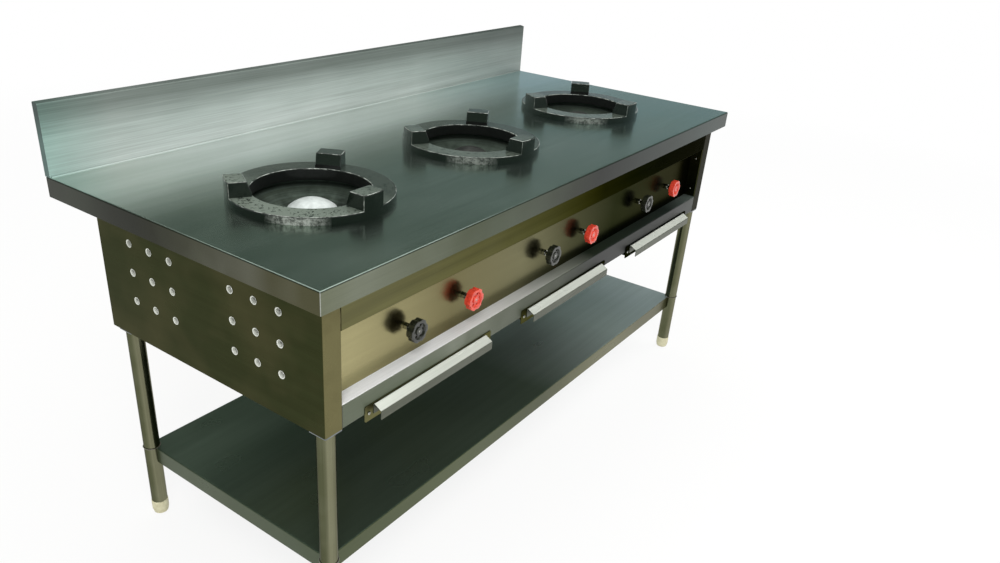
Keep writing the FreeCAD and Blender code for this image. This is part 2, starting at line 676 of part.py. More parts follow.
# ---- gas train ----
def valve_places():
    """(x, is main) of each valve: a main and a pilot valve for each burner."""
    places = []
    for x in row(BURNERS, VALVE_PITCH, VALVE_OFFSET):
        places.append((x - VALVE_SPACING / 2, True))
        places.append((x + VALVE_SPACING / 2, False))
    return places


def inlet_x():
    """Middle of the inlet pipe that leaves the body at the rear."""
    return OPENING_RIGHT - MANIFOLD_END_INSET / 2


def gas_valve(x, radius, outlet_radius):
    """Brass valve behind the panel: hexagon nut, body, inlet tail and an outlet on top."""
    start = VALVE_START_Y
    neck_y = start + VALVE_NUT_LENGTH
    body_y = neck_y + 4
    end_y = body_y + VALVE_LENGTH - VALVE_NUT_LENGTH
    tail = radius * 0.6
    corners = [(0, start, 0), (tail, start, 0), (tail, body_y, 0), (radius, body_y, 2), (radius, end_y, 2),
               (tail, end_y + 3, 0), (tail, BOSS_END_Y, 0), (0, BOSS_END_Y, 0)]
    body = turned_along_y(corners, x, VALVE_Z)
    nut_points = [V(x + radius * math.cos(math.radians(a)), start, VALVE_Z + radius * math.sin(math.radians(a)))
                  for a in range(0, 361, 60)]
    nut = Part.Face(Part.makePolygon(nut_points)).extrude(V(0, VALVE_NUT_LENGTH, 0))
    outlet = rod(outlet_radius + 1.5, V(x, OUTLET_Y, VALVE_Z), Z_AXIS, OUTLET_RISE)
    bore = rod(SPINDLE_RADIUS + SPINDLE_CLEARANCE, V(x, start - 1, VALVE_Z), Y_AXIS, SPINDLE_ENTRY + 3)
    return body.fuse(nut).fuse(outlet).cut(bore).removeSplitter()


def gas_manifold():
    """Straight supply pipe behind the valves with a boss for each of them."""
    x0 = OPENING_LEFT + MANIFOLD_END_INSET / 4
    x1 = inlet_x() - INLET_BEND
    pipe_solid = rod(MANIFOLD_RADIUS, V(x0, MANIFOLD_Y, VALVE_Z), X_AXIS, x1 - x0)
    for x, is_main in valve_places():
        radius = (MAIN_VALVE_RADIUS if is_main else PILOT_VALVE_RADIUS) * BOSS_SHARE
        boss = rod(radius, V(x, BOSS_END_Y, VALVE_Z), Y_AXIS, MANIFOLD_Y - BOSS_END_Y)
        pipe_solid = pipe_solid.fuse(boss)
    bore = rod(MANIFOLD_RADIUS - MANIFOLD_WALL, V(x0 + MANIFOLD_WALL, MANIFOLD_Y, VALVE_Z), X_AXIS, x1 - x0)
    return pipe_solid.cut(bore)


def inlet_pipe():
    """Bent pipe from the manifold's open end out through the back panel, with a hexagon and a spigot."""
    x = inlet_x()
    hexagon_y = BODY_REAR + INLET_STANDOFF
    spigot_y = hexagon_y + INLET_HEXAGON_LENGTH
    points = [V(x - INLET_BEND, MANIFOLD_Y, VALVE_Z), V(x, MANIFOLD_Y, VALVE_Z), V(x, hexagon_y + 1, VALVE_Z)]
    tube = pipe(points, MANIFOLD_RADIUS, MANIFOLD_WALL, INLET_BEND - FOLD_RADIUS)
    size = INLET_HEXAGON_RADIUS
    ring = [V(x + size * math.cos(math.radians(a)), hexagon_y, VALVE_Z + size * math.sin(math.radians(a)))
            for a in range(0, 361, 60)]
    hexagon = Part.Face(Part.makePolygon(ring)).extrude(V(0, INLET_HEXAGON_LENGTH, 0))
    spigot = rod(INLET_SPIGOT_RADIUS, V(x, spigot_y - 1, VALVE_Z), Y_AXIS, INLET_SPIGOT_LENGTH + 1)
    bore = rod(MANIFOLD_RADIUS - MANIFOLD_WALL, V(x, hexagon_y, VALVE_Z), Y_AXIS,
               INLET_HEXAGON_LENGTH + INLET_SPIGOT_LENGTH + 1)
    return tube.fuse(hexagon).fuse(spigot).cut(bore).removeSplitter()


def main_feed(valve_x, centre):
    """Pipe from a main valve's outlet up, across and up into the burner's air bell."""
    x, y = centre
    points = [V(valve_x, OUTLET_Y, OUTLET_Z), V(valve_x, OUTLET_Y, MAIN_RUN_Z), V(x, y, MAIN_RUN_Z), V(x, y, BELL_Z)]
    return pipe(points, MAIN_PIPE_RADIUS, PIPE_WALL, PIPE_BEND)


def pilot_feed(valve_x, centre):
    """Thin tube from a pilot valve's outlet to a tip beside the burner rim."""
    reach = BURNER_RADIUS + PILOT_STANDOFF
    angle = math.radians(PILOT_ANGLE)
    x = centre[0] + reach * math.cos(angle)
    y = centre[1] + reach * math.sin(angle)
    points = [V(valve_x, OUTLET_Y, OUTLET_Z), V(valve_x, OUTLET_Y, PILOT_RUN_Z), V(x, y, PILOT_RUN_Z),
              V(x, y, BURNER_RIM_Z - PILOT_TIP_DROP)]
    return pipe(points, PILOT_PIPE_RADIUS, PIPE_WALL, PIPE_BEND)


def handwheel(x):
    """Lobed handwheel with a dished web, and the spindle that runs into its valve."""
    back = PANEL_Y - WHEEL_STANDOFF
    front = back - WHEEL_THICKNESS
    web = front + WHEEL_THICKNESS / 2
    rim = WHEEL_RADIUS - WHEEL_RIM
    tip = VALVE_START_Y + SPINDLE_ENTRY
    corners = [(0, front + 2, 0), (WHEEL_HUB - 2, front + 2, 0), (WHEEL_HUB, web - WHEEL_WEB / 2, 0),
               (rim - 1, web - WHEEL_WEB / 2, 0), (rim + 1, front, WHEEL_ROUND), (WHEEL_RADIUS, front, WHEEL_ROUND),
               (WHEEL_RADIUS, back - 3, WHEEL_ROUND), (rim + 1, back - 3, 0), (rim - 1, web + WHEEL_WEB / 2, 0),
               (WHEEL_HUB, web + WHEEL_WEB / 2, 0), (WHEEL_HUB, back, 0), (SPINDLE_RADIUS, back, 0),
               (SPINDLE_RADIUS, tip, 0), (0, tip, 0)]
    wheel = turned_along_y(corners, 0, 0)
    cutters = []
    for i in range(WHEEL_LOBES):
        angle = math.radians((i + 0.5) * 360 / WHEEL_LOBES)
        reach = WHEEL_RADIUS + SCALLOP_RADIUS - SCALLOP_DEPTH
        place = V(reach * math.cos(angle), front - 1, reach * math.sin(angle))
        cutters.append(rod(SCALLOP_RADIUS, place, Y_AXIS, WHEEL_THICKNESS + 2))
        hole = (rim + WHEEL_HUB) / 2 - 0.5
        place = V(hole * math.cos(angle), front - 1, hole * math.sin(angle))
        cutters.append(rod(SPOKE_HOLE_RADIUS, place, Y_AXIS, WHEEL_THICKNESS + 2))
    wheel = wheel.cut(Part.makeCompound(cutters))
    wheel.translate(V(x, 0, VALVE_Z))
    return wheel


# ---- drip trays ----
def drip_tray(x):
    """Open folded pan with side and rear lips, and the wide front plate that is welded to it."""
    wall = BODY_SHEET
    half = TRAY_WIDTH / 2
    plate_half = TRAY_FRONT_WIDTH / 2
    rear = TRAY_FRONT_Y + TRAY_LENGTH
    top = LIP_Z + wall
    outer = block(x - half, x + half, TRAY_FRONT_Y, rear, TRAY_Z, top)
    lips = block(x - half - TRAY_LIP, x + half + TRAY_LIP, TRAY_FRONT_Y + TRAY_LIP, rear + TRAY_LIP, LIP_Z, top)
    inside = block(x - half + wall, x + half - wall, TRAY_FRONT_Y + wall, rear - wall, TRAY_Z + wall, top + 1)
    pan = outer.fuse(lips).cut(inside).removeSplitter()
    plate = block(x - plate_half, x + plate_half, TRAY_FRONT_Y - wall, TRAY_FRONT_Y, TRAY_Z, TRAY_FRONT_TOP)
    upright = [e for e in plate.Edges if abs(e.BoundBox.YLength - wall) < 1e-6]
    return [pan, plate.makeFillet(2 * FOLD_RADIUS, upright)]


def tray_handle(x):
    """Long folded pull: flange on the front plate, sloped top and a turned-down lip."""
    face = TRAY_FRONT_Y - BODY_SHEET
    bend = face - BODY_SHEET - HANDLE_REACH
    path = [(face, TRAY_FRONT_TOP - HANDLE_FLANGE), (face, TRAY_FRONT_TOP), (bend, TRAY_FRONT_TOP - HANDLE_SLOPE),
            (bend, TRAY_FRONT_TOP - HANDLE_SLOPE - HANDLE_LIP)]
    return sheet_along_x(path, BODY_SHEET, x - HANDLE_WIDTH / 2, x + HANDLE_WIDTH / 2)


def tray_runner(x, side):
    """Angle under one lip of a tray, from the front frame angle to the rear one."""
    lip = TRAY_WIDTH / 2 + TRAY_LIP
    inner = lip - RUNNER_LAP
    shelf = LIP_Z - RUNNER_GAP
    low = shelf - BODY_SHEET
    path = [(inner, low), (inner + RUNNER_FLAT, low), (inner + RUNNER_FLAT, low + RUNNER_RISE)]
    start = FRAME_FRONT_Y + FRAME_WALL
    runner = sheet_along_y(path, BODY_SHEET, start, frame_rear_y())
    if side < 0:
        runner = mirrored(runner)
    runner.translate(V(x, 0, 0))
    return runner


# ---- legs, feet and undershelf ----
def leg_places():
    """Corner name and centre of each leg."""
    return {"front_left": (LEG_LEFT_X, LEG_FRONT_Y), "front_right": (LEG_RIGHT_X, LEG_FRONT_Y),
            "rear_left": (LEG_LEFT_X, LEG_REAR_Y), "rear_right": (LEG_RIGHT_X, LEG_REAR_Y)}


def leg(centre):
    """Round tube from the foot's insert up to its fixing plate."""
    start = V(centre[0], centre[1], TUBE_BOTTOM_Z)
    length = LEG_TOP_Z - TUBE_BOTTOM_Z
    return rod(LEG_RADIUS, start, Z_AXIS, length).cut(rod(LEG_RADIUS - LEG_WALL, start, Z_AXIS, length))


def leg_plate(centre):
    """Square plate between the leg and the body."""
    half = LEG_PLATE / 2
    plate = block(centre[0] - half, centre[0] + half, centre[1] - half, centre[1] + half, LEG_TOP_Z, BODY_Z)
    return plate.makeFillet(4, [e for e in plate.Edges if abs(e.BoundBox.ZLength - LEG_PLATE_THICKNESS) < 1e-6])


def leg_insert(centre):
    """Plug in the bottom of the leg that the foot's stem screws into."""
    start = V(centre[0], centre[1], TUBE_BOTTOM_Z)
    plug = rod(LEG_RADIUS - LEG_WALL - STEM_CLEARANCE, start, Z_AXIS, INSERT_LENGTH)
    return plug.cut(rod(FOOT_STEM_RADIUS + STEM_CLEARANCE, start, Z_AXIS, INSERT_LENGTH))


def foot(centre):
    """Adjustable foot: rounded cap on the floor and a stem up into the leg."""
    stem_top = FOOT_HEIGHT + FOOT_STEM_LENGTH
    corners = [(0, 0, 0), (FOOT_RADIUS - FOOT_ROUND / 2, 0, 1), (FOOT_RADIUS, FOOT_ROUND * 2, FOOT_ROUND),
               (FOOT_RADIUS, FOOT_HEIGHT, 1.5), (FOOT_STEM_RADIUS, FOOT_HEIGHT, 0),
               (FOOT_STEM_RADIUS, stem_top, 1), (0, stem_top, 0)]
    return turned(corners, centre)


def shelf_inside():
    """Room inside the shelf's turned-down edges."""
    wall = BODY_SHEET
    return block(SHELF_LEFT + wall, SHELF_RIGHT - wall, SHELF_FRONT + wall, SHELF_REAR - wall,
                 SHELF_Z - SHELF_DROP + wall, SHELF_Z - wall)


def undershelf():
    """Shelf sheet with turned-down edges, cut round at each leg."""
    bottom = SHELF_Z - SHELF_DROP
    outer = block(SHELF_LEFT, SHELF_RIGHT, SHELF_FRONT, SHELF_REAR, bottom, SHELF_Z)
    outer = outer.makeFillet(FOLD_RADIUS + BODY_SHEET, [e for e in outer.Edges if e.BoundBox.ZMin > SHELF_Z - 1])
    hem = BODY_SHEET + SHELF_RETURN
    mouth = block(SHELF_LEFT + hem, SHELF_RIGHT - hem, SHELF_FRONT + hem, SHELF_REAR - hem, bottom - 1,
                  bottom + BODY_SHEET + 1)
    shelf = outer.cut(shelf_inside()).cut(mouth)
    for x, y in leg_places().values():
        shelf = shelf.cut(rod(LEG_RADIUS + SEAT_GAP, V(x, y, bottom - 1), Z_AXIS, SHELF_DROP + 2))
    return shelf


def shelf_clip(centre):
    """Part collar round the leg, inside the shelf's corner."""
    start = V(centre[0], centre[1], SHELF_Z - SHELF_DROP)
    collar = rod(LEG_RADIUS + SEAT_GAP / 3 + SHELF_CLIP_WALL, start, Z_AXIS, SHELF_DROP)
    collar = collar.cut(rod(LEG_RADIUS + SEAT_GAP / 3, start, Z_AXIS, SHELF_DROP))
    return collar.common(shelf_inside())


def shelf_stiffener():
    """Channel along the middle of the shelf's underside."""
    return hat_channel(SHELF_LEFT + STIFFENER_INSET, SHELF_RIGHT - STIFFENER_INSET, (SHELF_FRONT + SHELF_REAR) / 2,
                       SHELF_Z - BODY_SHEET, STIFFENER_WIDTH, STIFFENER_DROP, STIFFENER_FOOT, BODY_SHEET)


def main():
    """Build every node and write it to parts/."""
    os.makedirs("parts", exist_ok=True)
    save("worktop", worktop())
    save("backsplash", backsplash())
    save_group("worktop_stiffeners", worktop_stiffeners())
    panel = side_panel()
    save("side_panel_left", panel)
    save("side_panel_right", mirrored(panel))
    save("back_panel", back_panel())
    save("front_top_rail", front_top_rail())
    save_group("front_lower_rail", front_lower_rail())
    save("control_panel", control_panel())
    save("base_frame", base_frame())

    centres = burner_places()
    valves = valve_places()
    for i, centre in enumerate(centres):
        number = str(i + 1)
        save("burner_chamber_" + number, burner_chamber(centre))
        save("burner_body_" + number, burner_body(centre))
        save("burner_cap_" + number, burner_cap(centre))
        save("wok_ring_" + number, wok_ring(centre))
        main_x = valves[2 * i][0]
        pilot_x = valves[2 * i + 1][0]
        save("main_valve_" + number, gas_valve(main_x, MAIN_VALVE_RADIUS, MAIN_PIPE_RADIUS))
        save("pilot_valve_" + number, gas_valve(pilot_x, PILOT_VALVE_RADIUS, PILOT_PIPE_RADIUS))
        save("main_handwheel_" + number, handwheel(main_x))
        save("pilot_handwheel_" + number, handwheel(pilot_x))
    save_group("burner_hangers", [burner_hanger(centre) for centre in centres])
    save("gas_manifold", gas_manifold())
    save("inlet_pipe", inlet_pipe())
    save_group("main_feed_pipes", [main_feed(valves[2 * i][0], c) for i, c in enumerate(centres)])
    save_group("pilot_tubes", [pilot_feed(valves[2 * i + 1][0], c) for i, c in enumerate(centres)])

    for i, x in enumerate(row(BURNERS, TRAY_PITCH)):
        save_group("drip_tray_" + str(i + 1), drip_tray(x))
        save("tray_handle_" + str(i + 1), tray_handle(x))
    save_group("tray_runners", [tray_runner(x, side) for x in row(BURNERS, TRAY_PITCH) for side in (-1, 1)])

    for corner, centre in leg_places().items():
        save("leg_" + corner, leg(centre))
        save("foot_" + corner, foot(centre))
    save_group("leg_plates", [leg_plate(c) for c in leg_places().values()])
    save_group("leg_inserts", [leg_insert(c) for c in leg_places().values()])
    save("undershelf", undershelf())
    save_group("shelf_clips", [shelf_clip(c) for c in leg_places().values()])
    save("shelf_stiffener", shelf_stiffener())


main()
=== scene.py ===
"""Dressed model of a three-burner wok range in folded stainless sheet.

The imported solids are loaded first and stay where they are. Each sub-assembly then dresses its own solids
with real finishes and adds the small pieces that a sheet-metal shop and a foundry leave on such a range.
Lengths in fields and arguments are millimetres, unless they are vectors: Blender works in metres.
"""
import logging
import math
from dataclasses import dataclass
from enum import Enum
from functools import partial
from itertools import product
from typing import Any, Callable, Iterable, Sequence

import bmesh
import bpy
from mathutils import Matrix, Vector


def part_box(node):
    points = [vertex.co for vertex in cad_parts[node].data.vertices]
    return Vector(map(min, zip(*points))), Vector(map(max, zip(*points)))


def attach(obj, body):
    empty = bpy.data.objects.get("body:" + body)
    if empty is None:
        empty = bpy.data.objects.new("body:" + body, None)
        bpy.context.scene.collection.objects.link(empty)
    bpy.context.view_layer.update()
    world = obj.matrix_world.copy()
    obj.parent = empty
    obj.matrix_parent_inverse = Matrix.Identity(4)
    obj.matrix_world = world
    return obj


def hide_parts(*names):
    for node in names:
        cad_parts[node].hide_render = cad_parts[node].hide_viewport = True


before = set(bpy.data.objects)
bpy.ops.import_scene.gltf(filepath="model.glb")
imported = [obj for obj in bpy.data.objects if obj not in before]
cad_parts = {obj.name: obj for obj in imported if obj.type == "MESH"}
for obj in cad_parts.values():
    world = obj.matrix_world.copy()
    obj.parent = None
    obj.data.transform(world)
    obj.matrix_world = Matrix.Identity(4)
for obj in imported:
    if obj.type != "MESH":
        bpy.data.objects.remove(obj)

LOG = logging.getLogger("wok_range")
MM = 0.001
STAND = "stand"
NUMBERS = (1, 2, 3)
CORNERS = ("front_left", "front_right", "rear_left", "rear_right")

Piece = bpy.types.Object
Tree = bpy.types.NodeTree
Node = bpy.types.Node
Socket = bpy.types.NodeSocket
Stops = tuple[tuple[float, str], ...]
Steps = tuple[tuple[float, float], ...]
Test = Callable[[Vector, Vector], bool]


# ---------------------------------------------------------------- shared tools
def linear(hex_colour: str) -> tuple[float, float, float, float]:
    """Turns an sRGB hex colour into linear RGBA.

    Args:
        hex_colour: Six hex digits after a hash sign.

    Returns:
        Linear red, green, blue and an alpha of 1.
    """
    parts = [int(hex_colour[i : i + 2], 16) / 255 for i in (1, 3, 5)]
    red, green, blue = [c / 12.92 if c <= 0.04045 else ((c + 0.055) / 1.055) ** 2.4 for c in parts]
    return (red, green, blue, 1.0)


def add_node(tree: Tree, kind: str, inputs: dict[int | str, Any] | Sequence[Any] = (), **settings: Any) -> Node:
    """Adds one shader node.

    Args:
        tree: Node tree that takes the node.
        kind: Blender's type name of the node, less its "ShaderNode".
        inputs: Inputs in order, or by place or name. Each is a socket, a node that gives its first live
            output, a hex colour or a plain value.
        settings: Properties of the node itself.

    Returns:
        The new node.
    """
    node = tree.nodes.new("ShaderNode" + kind)
    for key, value in settings.items():
        setattr(node, key, value)
    for key, value in inputs.items() if isinstance(inputs, dict) else enumerate(inputs):
        if isinstance(value, Node):
            value = next(output for output in value.outputs if output.enabled)
        if isinstance(value, Socket):
            tree.links.new(value, node.inputs[key])
        else:
            node.inputs[key].default_value = linear(value) if isinstance(value, str) else value
    return node


def fill_ramp(ramp: Node, stops: Stops) -> None:
    """Sets the stops of a colour ramp.

    Args:
        ramp: Colour ramp node.
        stops: Position from 0 to 1 and hex colour of each stop.
    """
    elements = ramp.color_ramp.elements
    for i in (0, -1):
        elements[i].position, elements[i].color = stops[i][0], linear(stops[i][1])
    for position, shade in stops[1:-1]:
        elements.new(position).color = linear(shade)


def deselect() -> None:
    """Leaves edit mode and selects nothing."""
    active = bpy.context.view_layer.objects.active
    if active is not None and active.mode != "OBJECT":
        bpy.ops.object.mode_set(mode="OBJECT")
    bpy.ops.object.select_all(action="DESELECT")


def activate(piece: Piece) -> None:
    """Makes one piece the only selected and active one."""
    deselect()
    piece.select_set(True)
    bpy.context.view_layer.objects.active = piece


def settle(name: str) -> Piece:
    """Names the primitive just added and moves its place into its mesh.

    Args:
        name: Name of the piece and its mesh.

    Returns:
        The piece, active and selected.
    """
    piece = bpy.context.view_layer.objects.active
    piece.name = piece.data.name = name
    bpy.ops.object.transform_apply(location=True, rotation=True, scale=True)
    return piece


def edit(piece: Piece, mode: str = "FACE") -> None:
    """Enters edit mode on a piece with nothing selected.

    Args:
        piece: Mesh object to edit.
        mode: VERT, EDGE or FACE.
    """
    activate(piece)
    bpy.ops.object.mode_set(mode="EDIT")
    bpy.ops.mesh.select_mode(type=mode)
    bpy.ops.mesh.select_all(action="DESELECT")


def leave_edit() -> None:
    """Goes back to object mode."""
    bpy.ops.object.mode_set(mode="OBJECT")


def choose(piece: Piece, test: Test, kind: str = "FACE") -> None:
    """Selects what passes a test, in edit mode.

    Args:
        piece: Mesh object in edit mode.
        test: Takes a face's middle and normal, an edge's middle and run, or a point and its normal.
        kind: VERT, EDGE or FACE.
    """
    mesh = bmesh.from_edit_mesh(piece.data)
    if kind == "VERT":
        parts = [(v, v.co, v.normal) for v in mesh.verts]
    elif kind == "EDGE":
        parts = [(e, (e.verts[0].co + e.verts[1].co) / 2, e.verts[1].co - e.verts[0].co) for e in mesh.edges]
    else:
        parts = [(f, f.calc_center_median(), f.normal) for f in mesh.faces]
    for part, _, _ in parts:
        part.select_set(False)
    for part, middle, run in parts:
        if test(middle, run):
            part.select_set(True)
    if kind == "VERT":
        mesh.select_flush(True)
    bmesh.update_edit_mesh(piece.data)


def inset(*steps: tuple[float, float], each: bool = False) -> None:
    """Insets the selected faces step by step.

    Args:
        steps: Width and rise of each step.
        each: Whether each face is inset on its own.
    """
    for width, rise in steps:
        bpy.ops.mesh.inset(thickness=width * MM, depth=rise * MM, use_individual=each)


def extrude(*shift: float) -> None:
    """Extrudes what is selected along X, Y and Z."""
    bpy.ops.mesh.extrude_region_move(TRANSFORM_OT_translate={"value": tuple(s * MM for s in shift)})


def turn_outwards(piece: Piece) -> None:
    """Makes all faces of a piece point outwards."""
    edit(piece)
    bpy.ops.mesh.select_all(action="SELECT")
    bpy.ops.mesh.normals_make_consistent(inside=False)
    leave_edit()


def apply_modifier(piece: Piece, kind: str, **settings: Any) -> None:
    """Adds one modifier to a piece and applies it.

    Args:
        piece: Mesh object.
        kind: Blender's type name of the modifier.
        settings: Properties of the modifier.
    """
    activate(piece)
    modifier = piece.modifiers.new(kind.lower(), kind)
    for key, value in settings.items():
        setattr(modifier, key, value)
    bpy.ops.object.modifier_apply(modifier=modifier.name)


def cut(piece: Piece, cutter: Piece) -> None:
    """Cuts a piece with another one, which is used up."""
    apply_modifier(piece, "BOOLEAN", operation="DIFFERENCE", object=cutter, solver="EXACT")
    bpy.data.objects.remove(cutter)


def smooth(piece: Piece, angle: float) -> None:
    """Shades a piece smooth where it bends less than an angle in degrees."""
    activate(piece)
    bpy.ops.object.shade_smooth_by_angle(angle=math.radians(angle))


def soften(piece: Piece, width: float, segments: int = 2, angle: float = 35.0) -> None:
    """Rounds a piece's sharp edges and shades it smooth.

    Args:
        piece: Mesh object.
        width: Width of the round.
        segments: Faces across the round.
        angle: Edges sharper than this many degrees are rounded.
    """
    limit = math.radians(angle)
    apply_modifier(
        piece, "BEVEL", width=width * MM, segments=segments, limit_method="ANGLE", angle_limit=limit
    )
    smooth(piece, angle + 5)


def add_cylinder(
    name: str, radius: float, depth: float, centre: Vector, axis: str = "Z", sides: int = 32, fill: str = "NGON"
) -> Piece:
    """Starts a round piece.

    Args:
        name: Name of the piece.
        radius: Radius.
        depth: Length along the axis.
        centre: Middle of the piece.
        axis: X, Y or Z.
        sides: Number of sides.
        fill: NGON, TRIFAN or NOTHING.

    Returns:
        The piece, active and selected.
    """
    deselect()
    turn = {"X": (0, math.pi / 2, 0), "Y": (math.pi / 2, 0, 0), "Z": (0, 0, 0)}[axis]
    bpy.ops.mesh.primitive_cylinder_add(
        vertices=sides, radius=radius * MM, depth=depth * MM, end_fill_type=fill, location=centre, rotation=turn
    )
    return settle(name)


def add_block(name: str, size: Vector, centre: Vector) -> Piece:
    """Starts a square piece.

    Args:
        name: Name of the piece.
        size: Length along X, Y and Z.
        centre: Middle of the piece.

    Returns:
        The piece, active and selected.
    """
    deselect()
    bpy.ops.mesh.primitive_cube_add(size=1.0, location=centre)
    bpy.context.view_layer.objects.active.scale = size
    return settle(name)


def copy_to(piece: Piece, shift: Vector, turn: Matrix | None = None) -> Piece:
    """Copies a piece with its own mesh.

    Args:
        piece: Piece to copy.
        shift: How far the copy moves.
        turn: Turn about the origin before the shift.

    Returns:
        The copy, with its place in its mesh.
    """
    copy = piece.copy()
    copy.data = piece.data.copy()
    bpy.context.scene.collection.objects.link(copy)
    copy.data.transform(Matrix.Translation(shift) @ (turn or Matrix.Identity(4)))
    return copy


def join(pieces: Sequence[Piece], name: str) -> Piece:
    """Joins several meshes into one piece.

    Args:
        pieces: Mesh objects.
        name: Name of the joined piece.

    Returns:
        The joined piece.
    """
    deselect()
    for piece in pieces:
        piece.select_set(True)
    bpy.context.view_layer.objects.active = pieces[0]
    bpy.ops.object.join()
    pieces[0].name = pieces[0].data.name = name
    return pieces[0]


def place(piece: Piece, body: str, slot: str, finish: "Finish") -> Piece:
    """Gives a new piece its finish and the body that it moves with.

    Args:
        piece: Finished piece.
        body: Body of the frame.
        slot: Not used.
        finish: Finish of the whole piece.

    Returns:
        The piece.
    """
    piece.data.materials.append(finish.material())
    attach(piece, body)
    LOG.info("piece %s: %d faces", piece.name, len(piece.data.polygons))
    return piece


def dress(nodes: Iterable[str], finish: "Finish") -> None:
    """Gives solids of the frame a finish.

    Args:
        nodes: Names of the solids.
        finish: Their finish.
    """
    for name in nodes:
        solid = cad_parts[name]
        if not solid.data.materials:
            solid.data.materials.append(finish.material())
        for slot in solid.material_slots:
            slot.material = finish.material()
        LOG.info("solid %s: %s", name, finish.name)


def middle_of(node: str) -> Vector:
    """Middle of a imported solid's box."""
    low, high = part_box(node)
    return (low + high) / 2


# ---------------------------------------------------------------- finishes
class Grain(Enum):
    """Direction of the brushing on a sheet or tube."""

    ALONG_X = "x"
    ALONG_Y = "y"
    ALONG_Z = "z"

    def sizes(self, length: float, width: float) -> tuple[float, ...]:
        """Length of a stroke along the grain, and its width across it, as X, Y and Z."""
        return tuple(length if axis == self.value else width for axis in "xyz")


class Facing(Enum):
    """Way a sheet's face looks, as the axis and sign of its normal."""

    UP = ("Z", 1.0)
    FRONT = ("Y", -1.0)
    BACK = ("Y", 1.0)
    LEFT = ("X", -1.0)
    RIGHT = ("X", 1.0)


@dataclass(frozen=True)
class PaintedFade:
    """Painted shade and painted reflection that multiply a sheet's colour along one axis of the range."""

    axis: str
    stops: Stops
    facing: Facing | None = None


@dataclass(frozen=True)
class Finish:
    """Base of all finishes: makes one material and keeps it."""

    name: str

    def material(self) -> bpy.types.Material:
        """The finish's material, made at the first call."""
        known = bpy.data.materials.get(self.name)
        if known is not None:
            return known
        material = bpy.data.materials.new(self.name)
        material.use_nodes = True
        tree = material.node_tree
        tree.nodes.clear()
        add_node(tree, "OutputMaterial", {"Surface": self.surface(tree)})
        return material

    def surface(self, tree: Tree) -> Node:
        """Builds the shader and returns it."""
        raise NotImplementedError

    def noise(self, tree: Tree, size: float | Sequence[float], detail: float = 2.0, rough: float = 0.5) -> Node:
        """Noise over the object's own coordinates.

        Args:
            tree: Node tree.
            size: Size of one unit of the noise, all round or along X, Y and Z.
            detail: Octaves.
            rough: How strong the fine octaves are.

        Returns:
            The noise node.
        """
        sizes = size if isinstance(size, tuple) else (size,) * 3
        where = add_node(tree, "TexCoord").outputs["Object"]
        scaled = add_node(tree, "Mapping", {"Vector": where, "Scale": [1 / (s * MM) for s in sizes]})
        return add_node(tree, "TexNoise", {"Vector": scaled, "Scale": 1.0, "Detail": detail, "Roughness": rough})

    def skin(
        self, tree: Tree, colour: Node, rough: Node, height: Node, relief: float, strength: float, **sockets: Any
    ) -> Node:
        """Shader with a colour, a roughness and a relief.

        Args:
            tree: Node tree.
            colour: Base colour.
            rough: Roughness.
            height: Height of the relief, 0 to 1.
            relief: Depth of the relief.
            strength: Share of the relief that shows.
            sockets: Plain values of the shader's own sockets, with _ for each space.

        Returns:
            The shader node.
        """
        bump = add_node(tree, "Bump", {"Strength": strength, "Distance": relief * MM, "Height": height})
        plain = {key.replace("_", " "): value for key, value in sockets.items()}
        return add_node(
            tree, "BsdfPrincipled", {"Base Color": colour, "Roughness": rough, "Normal": bump, **plain}
        )


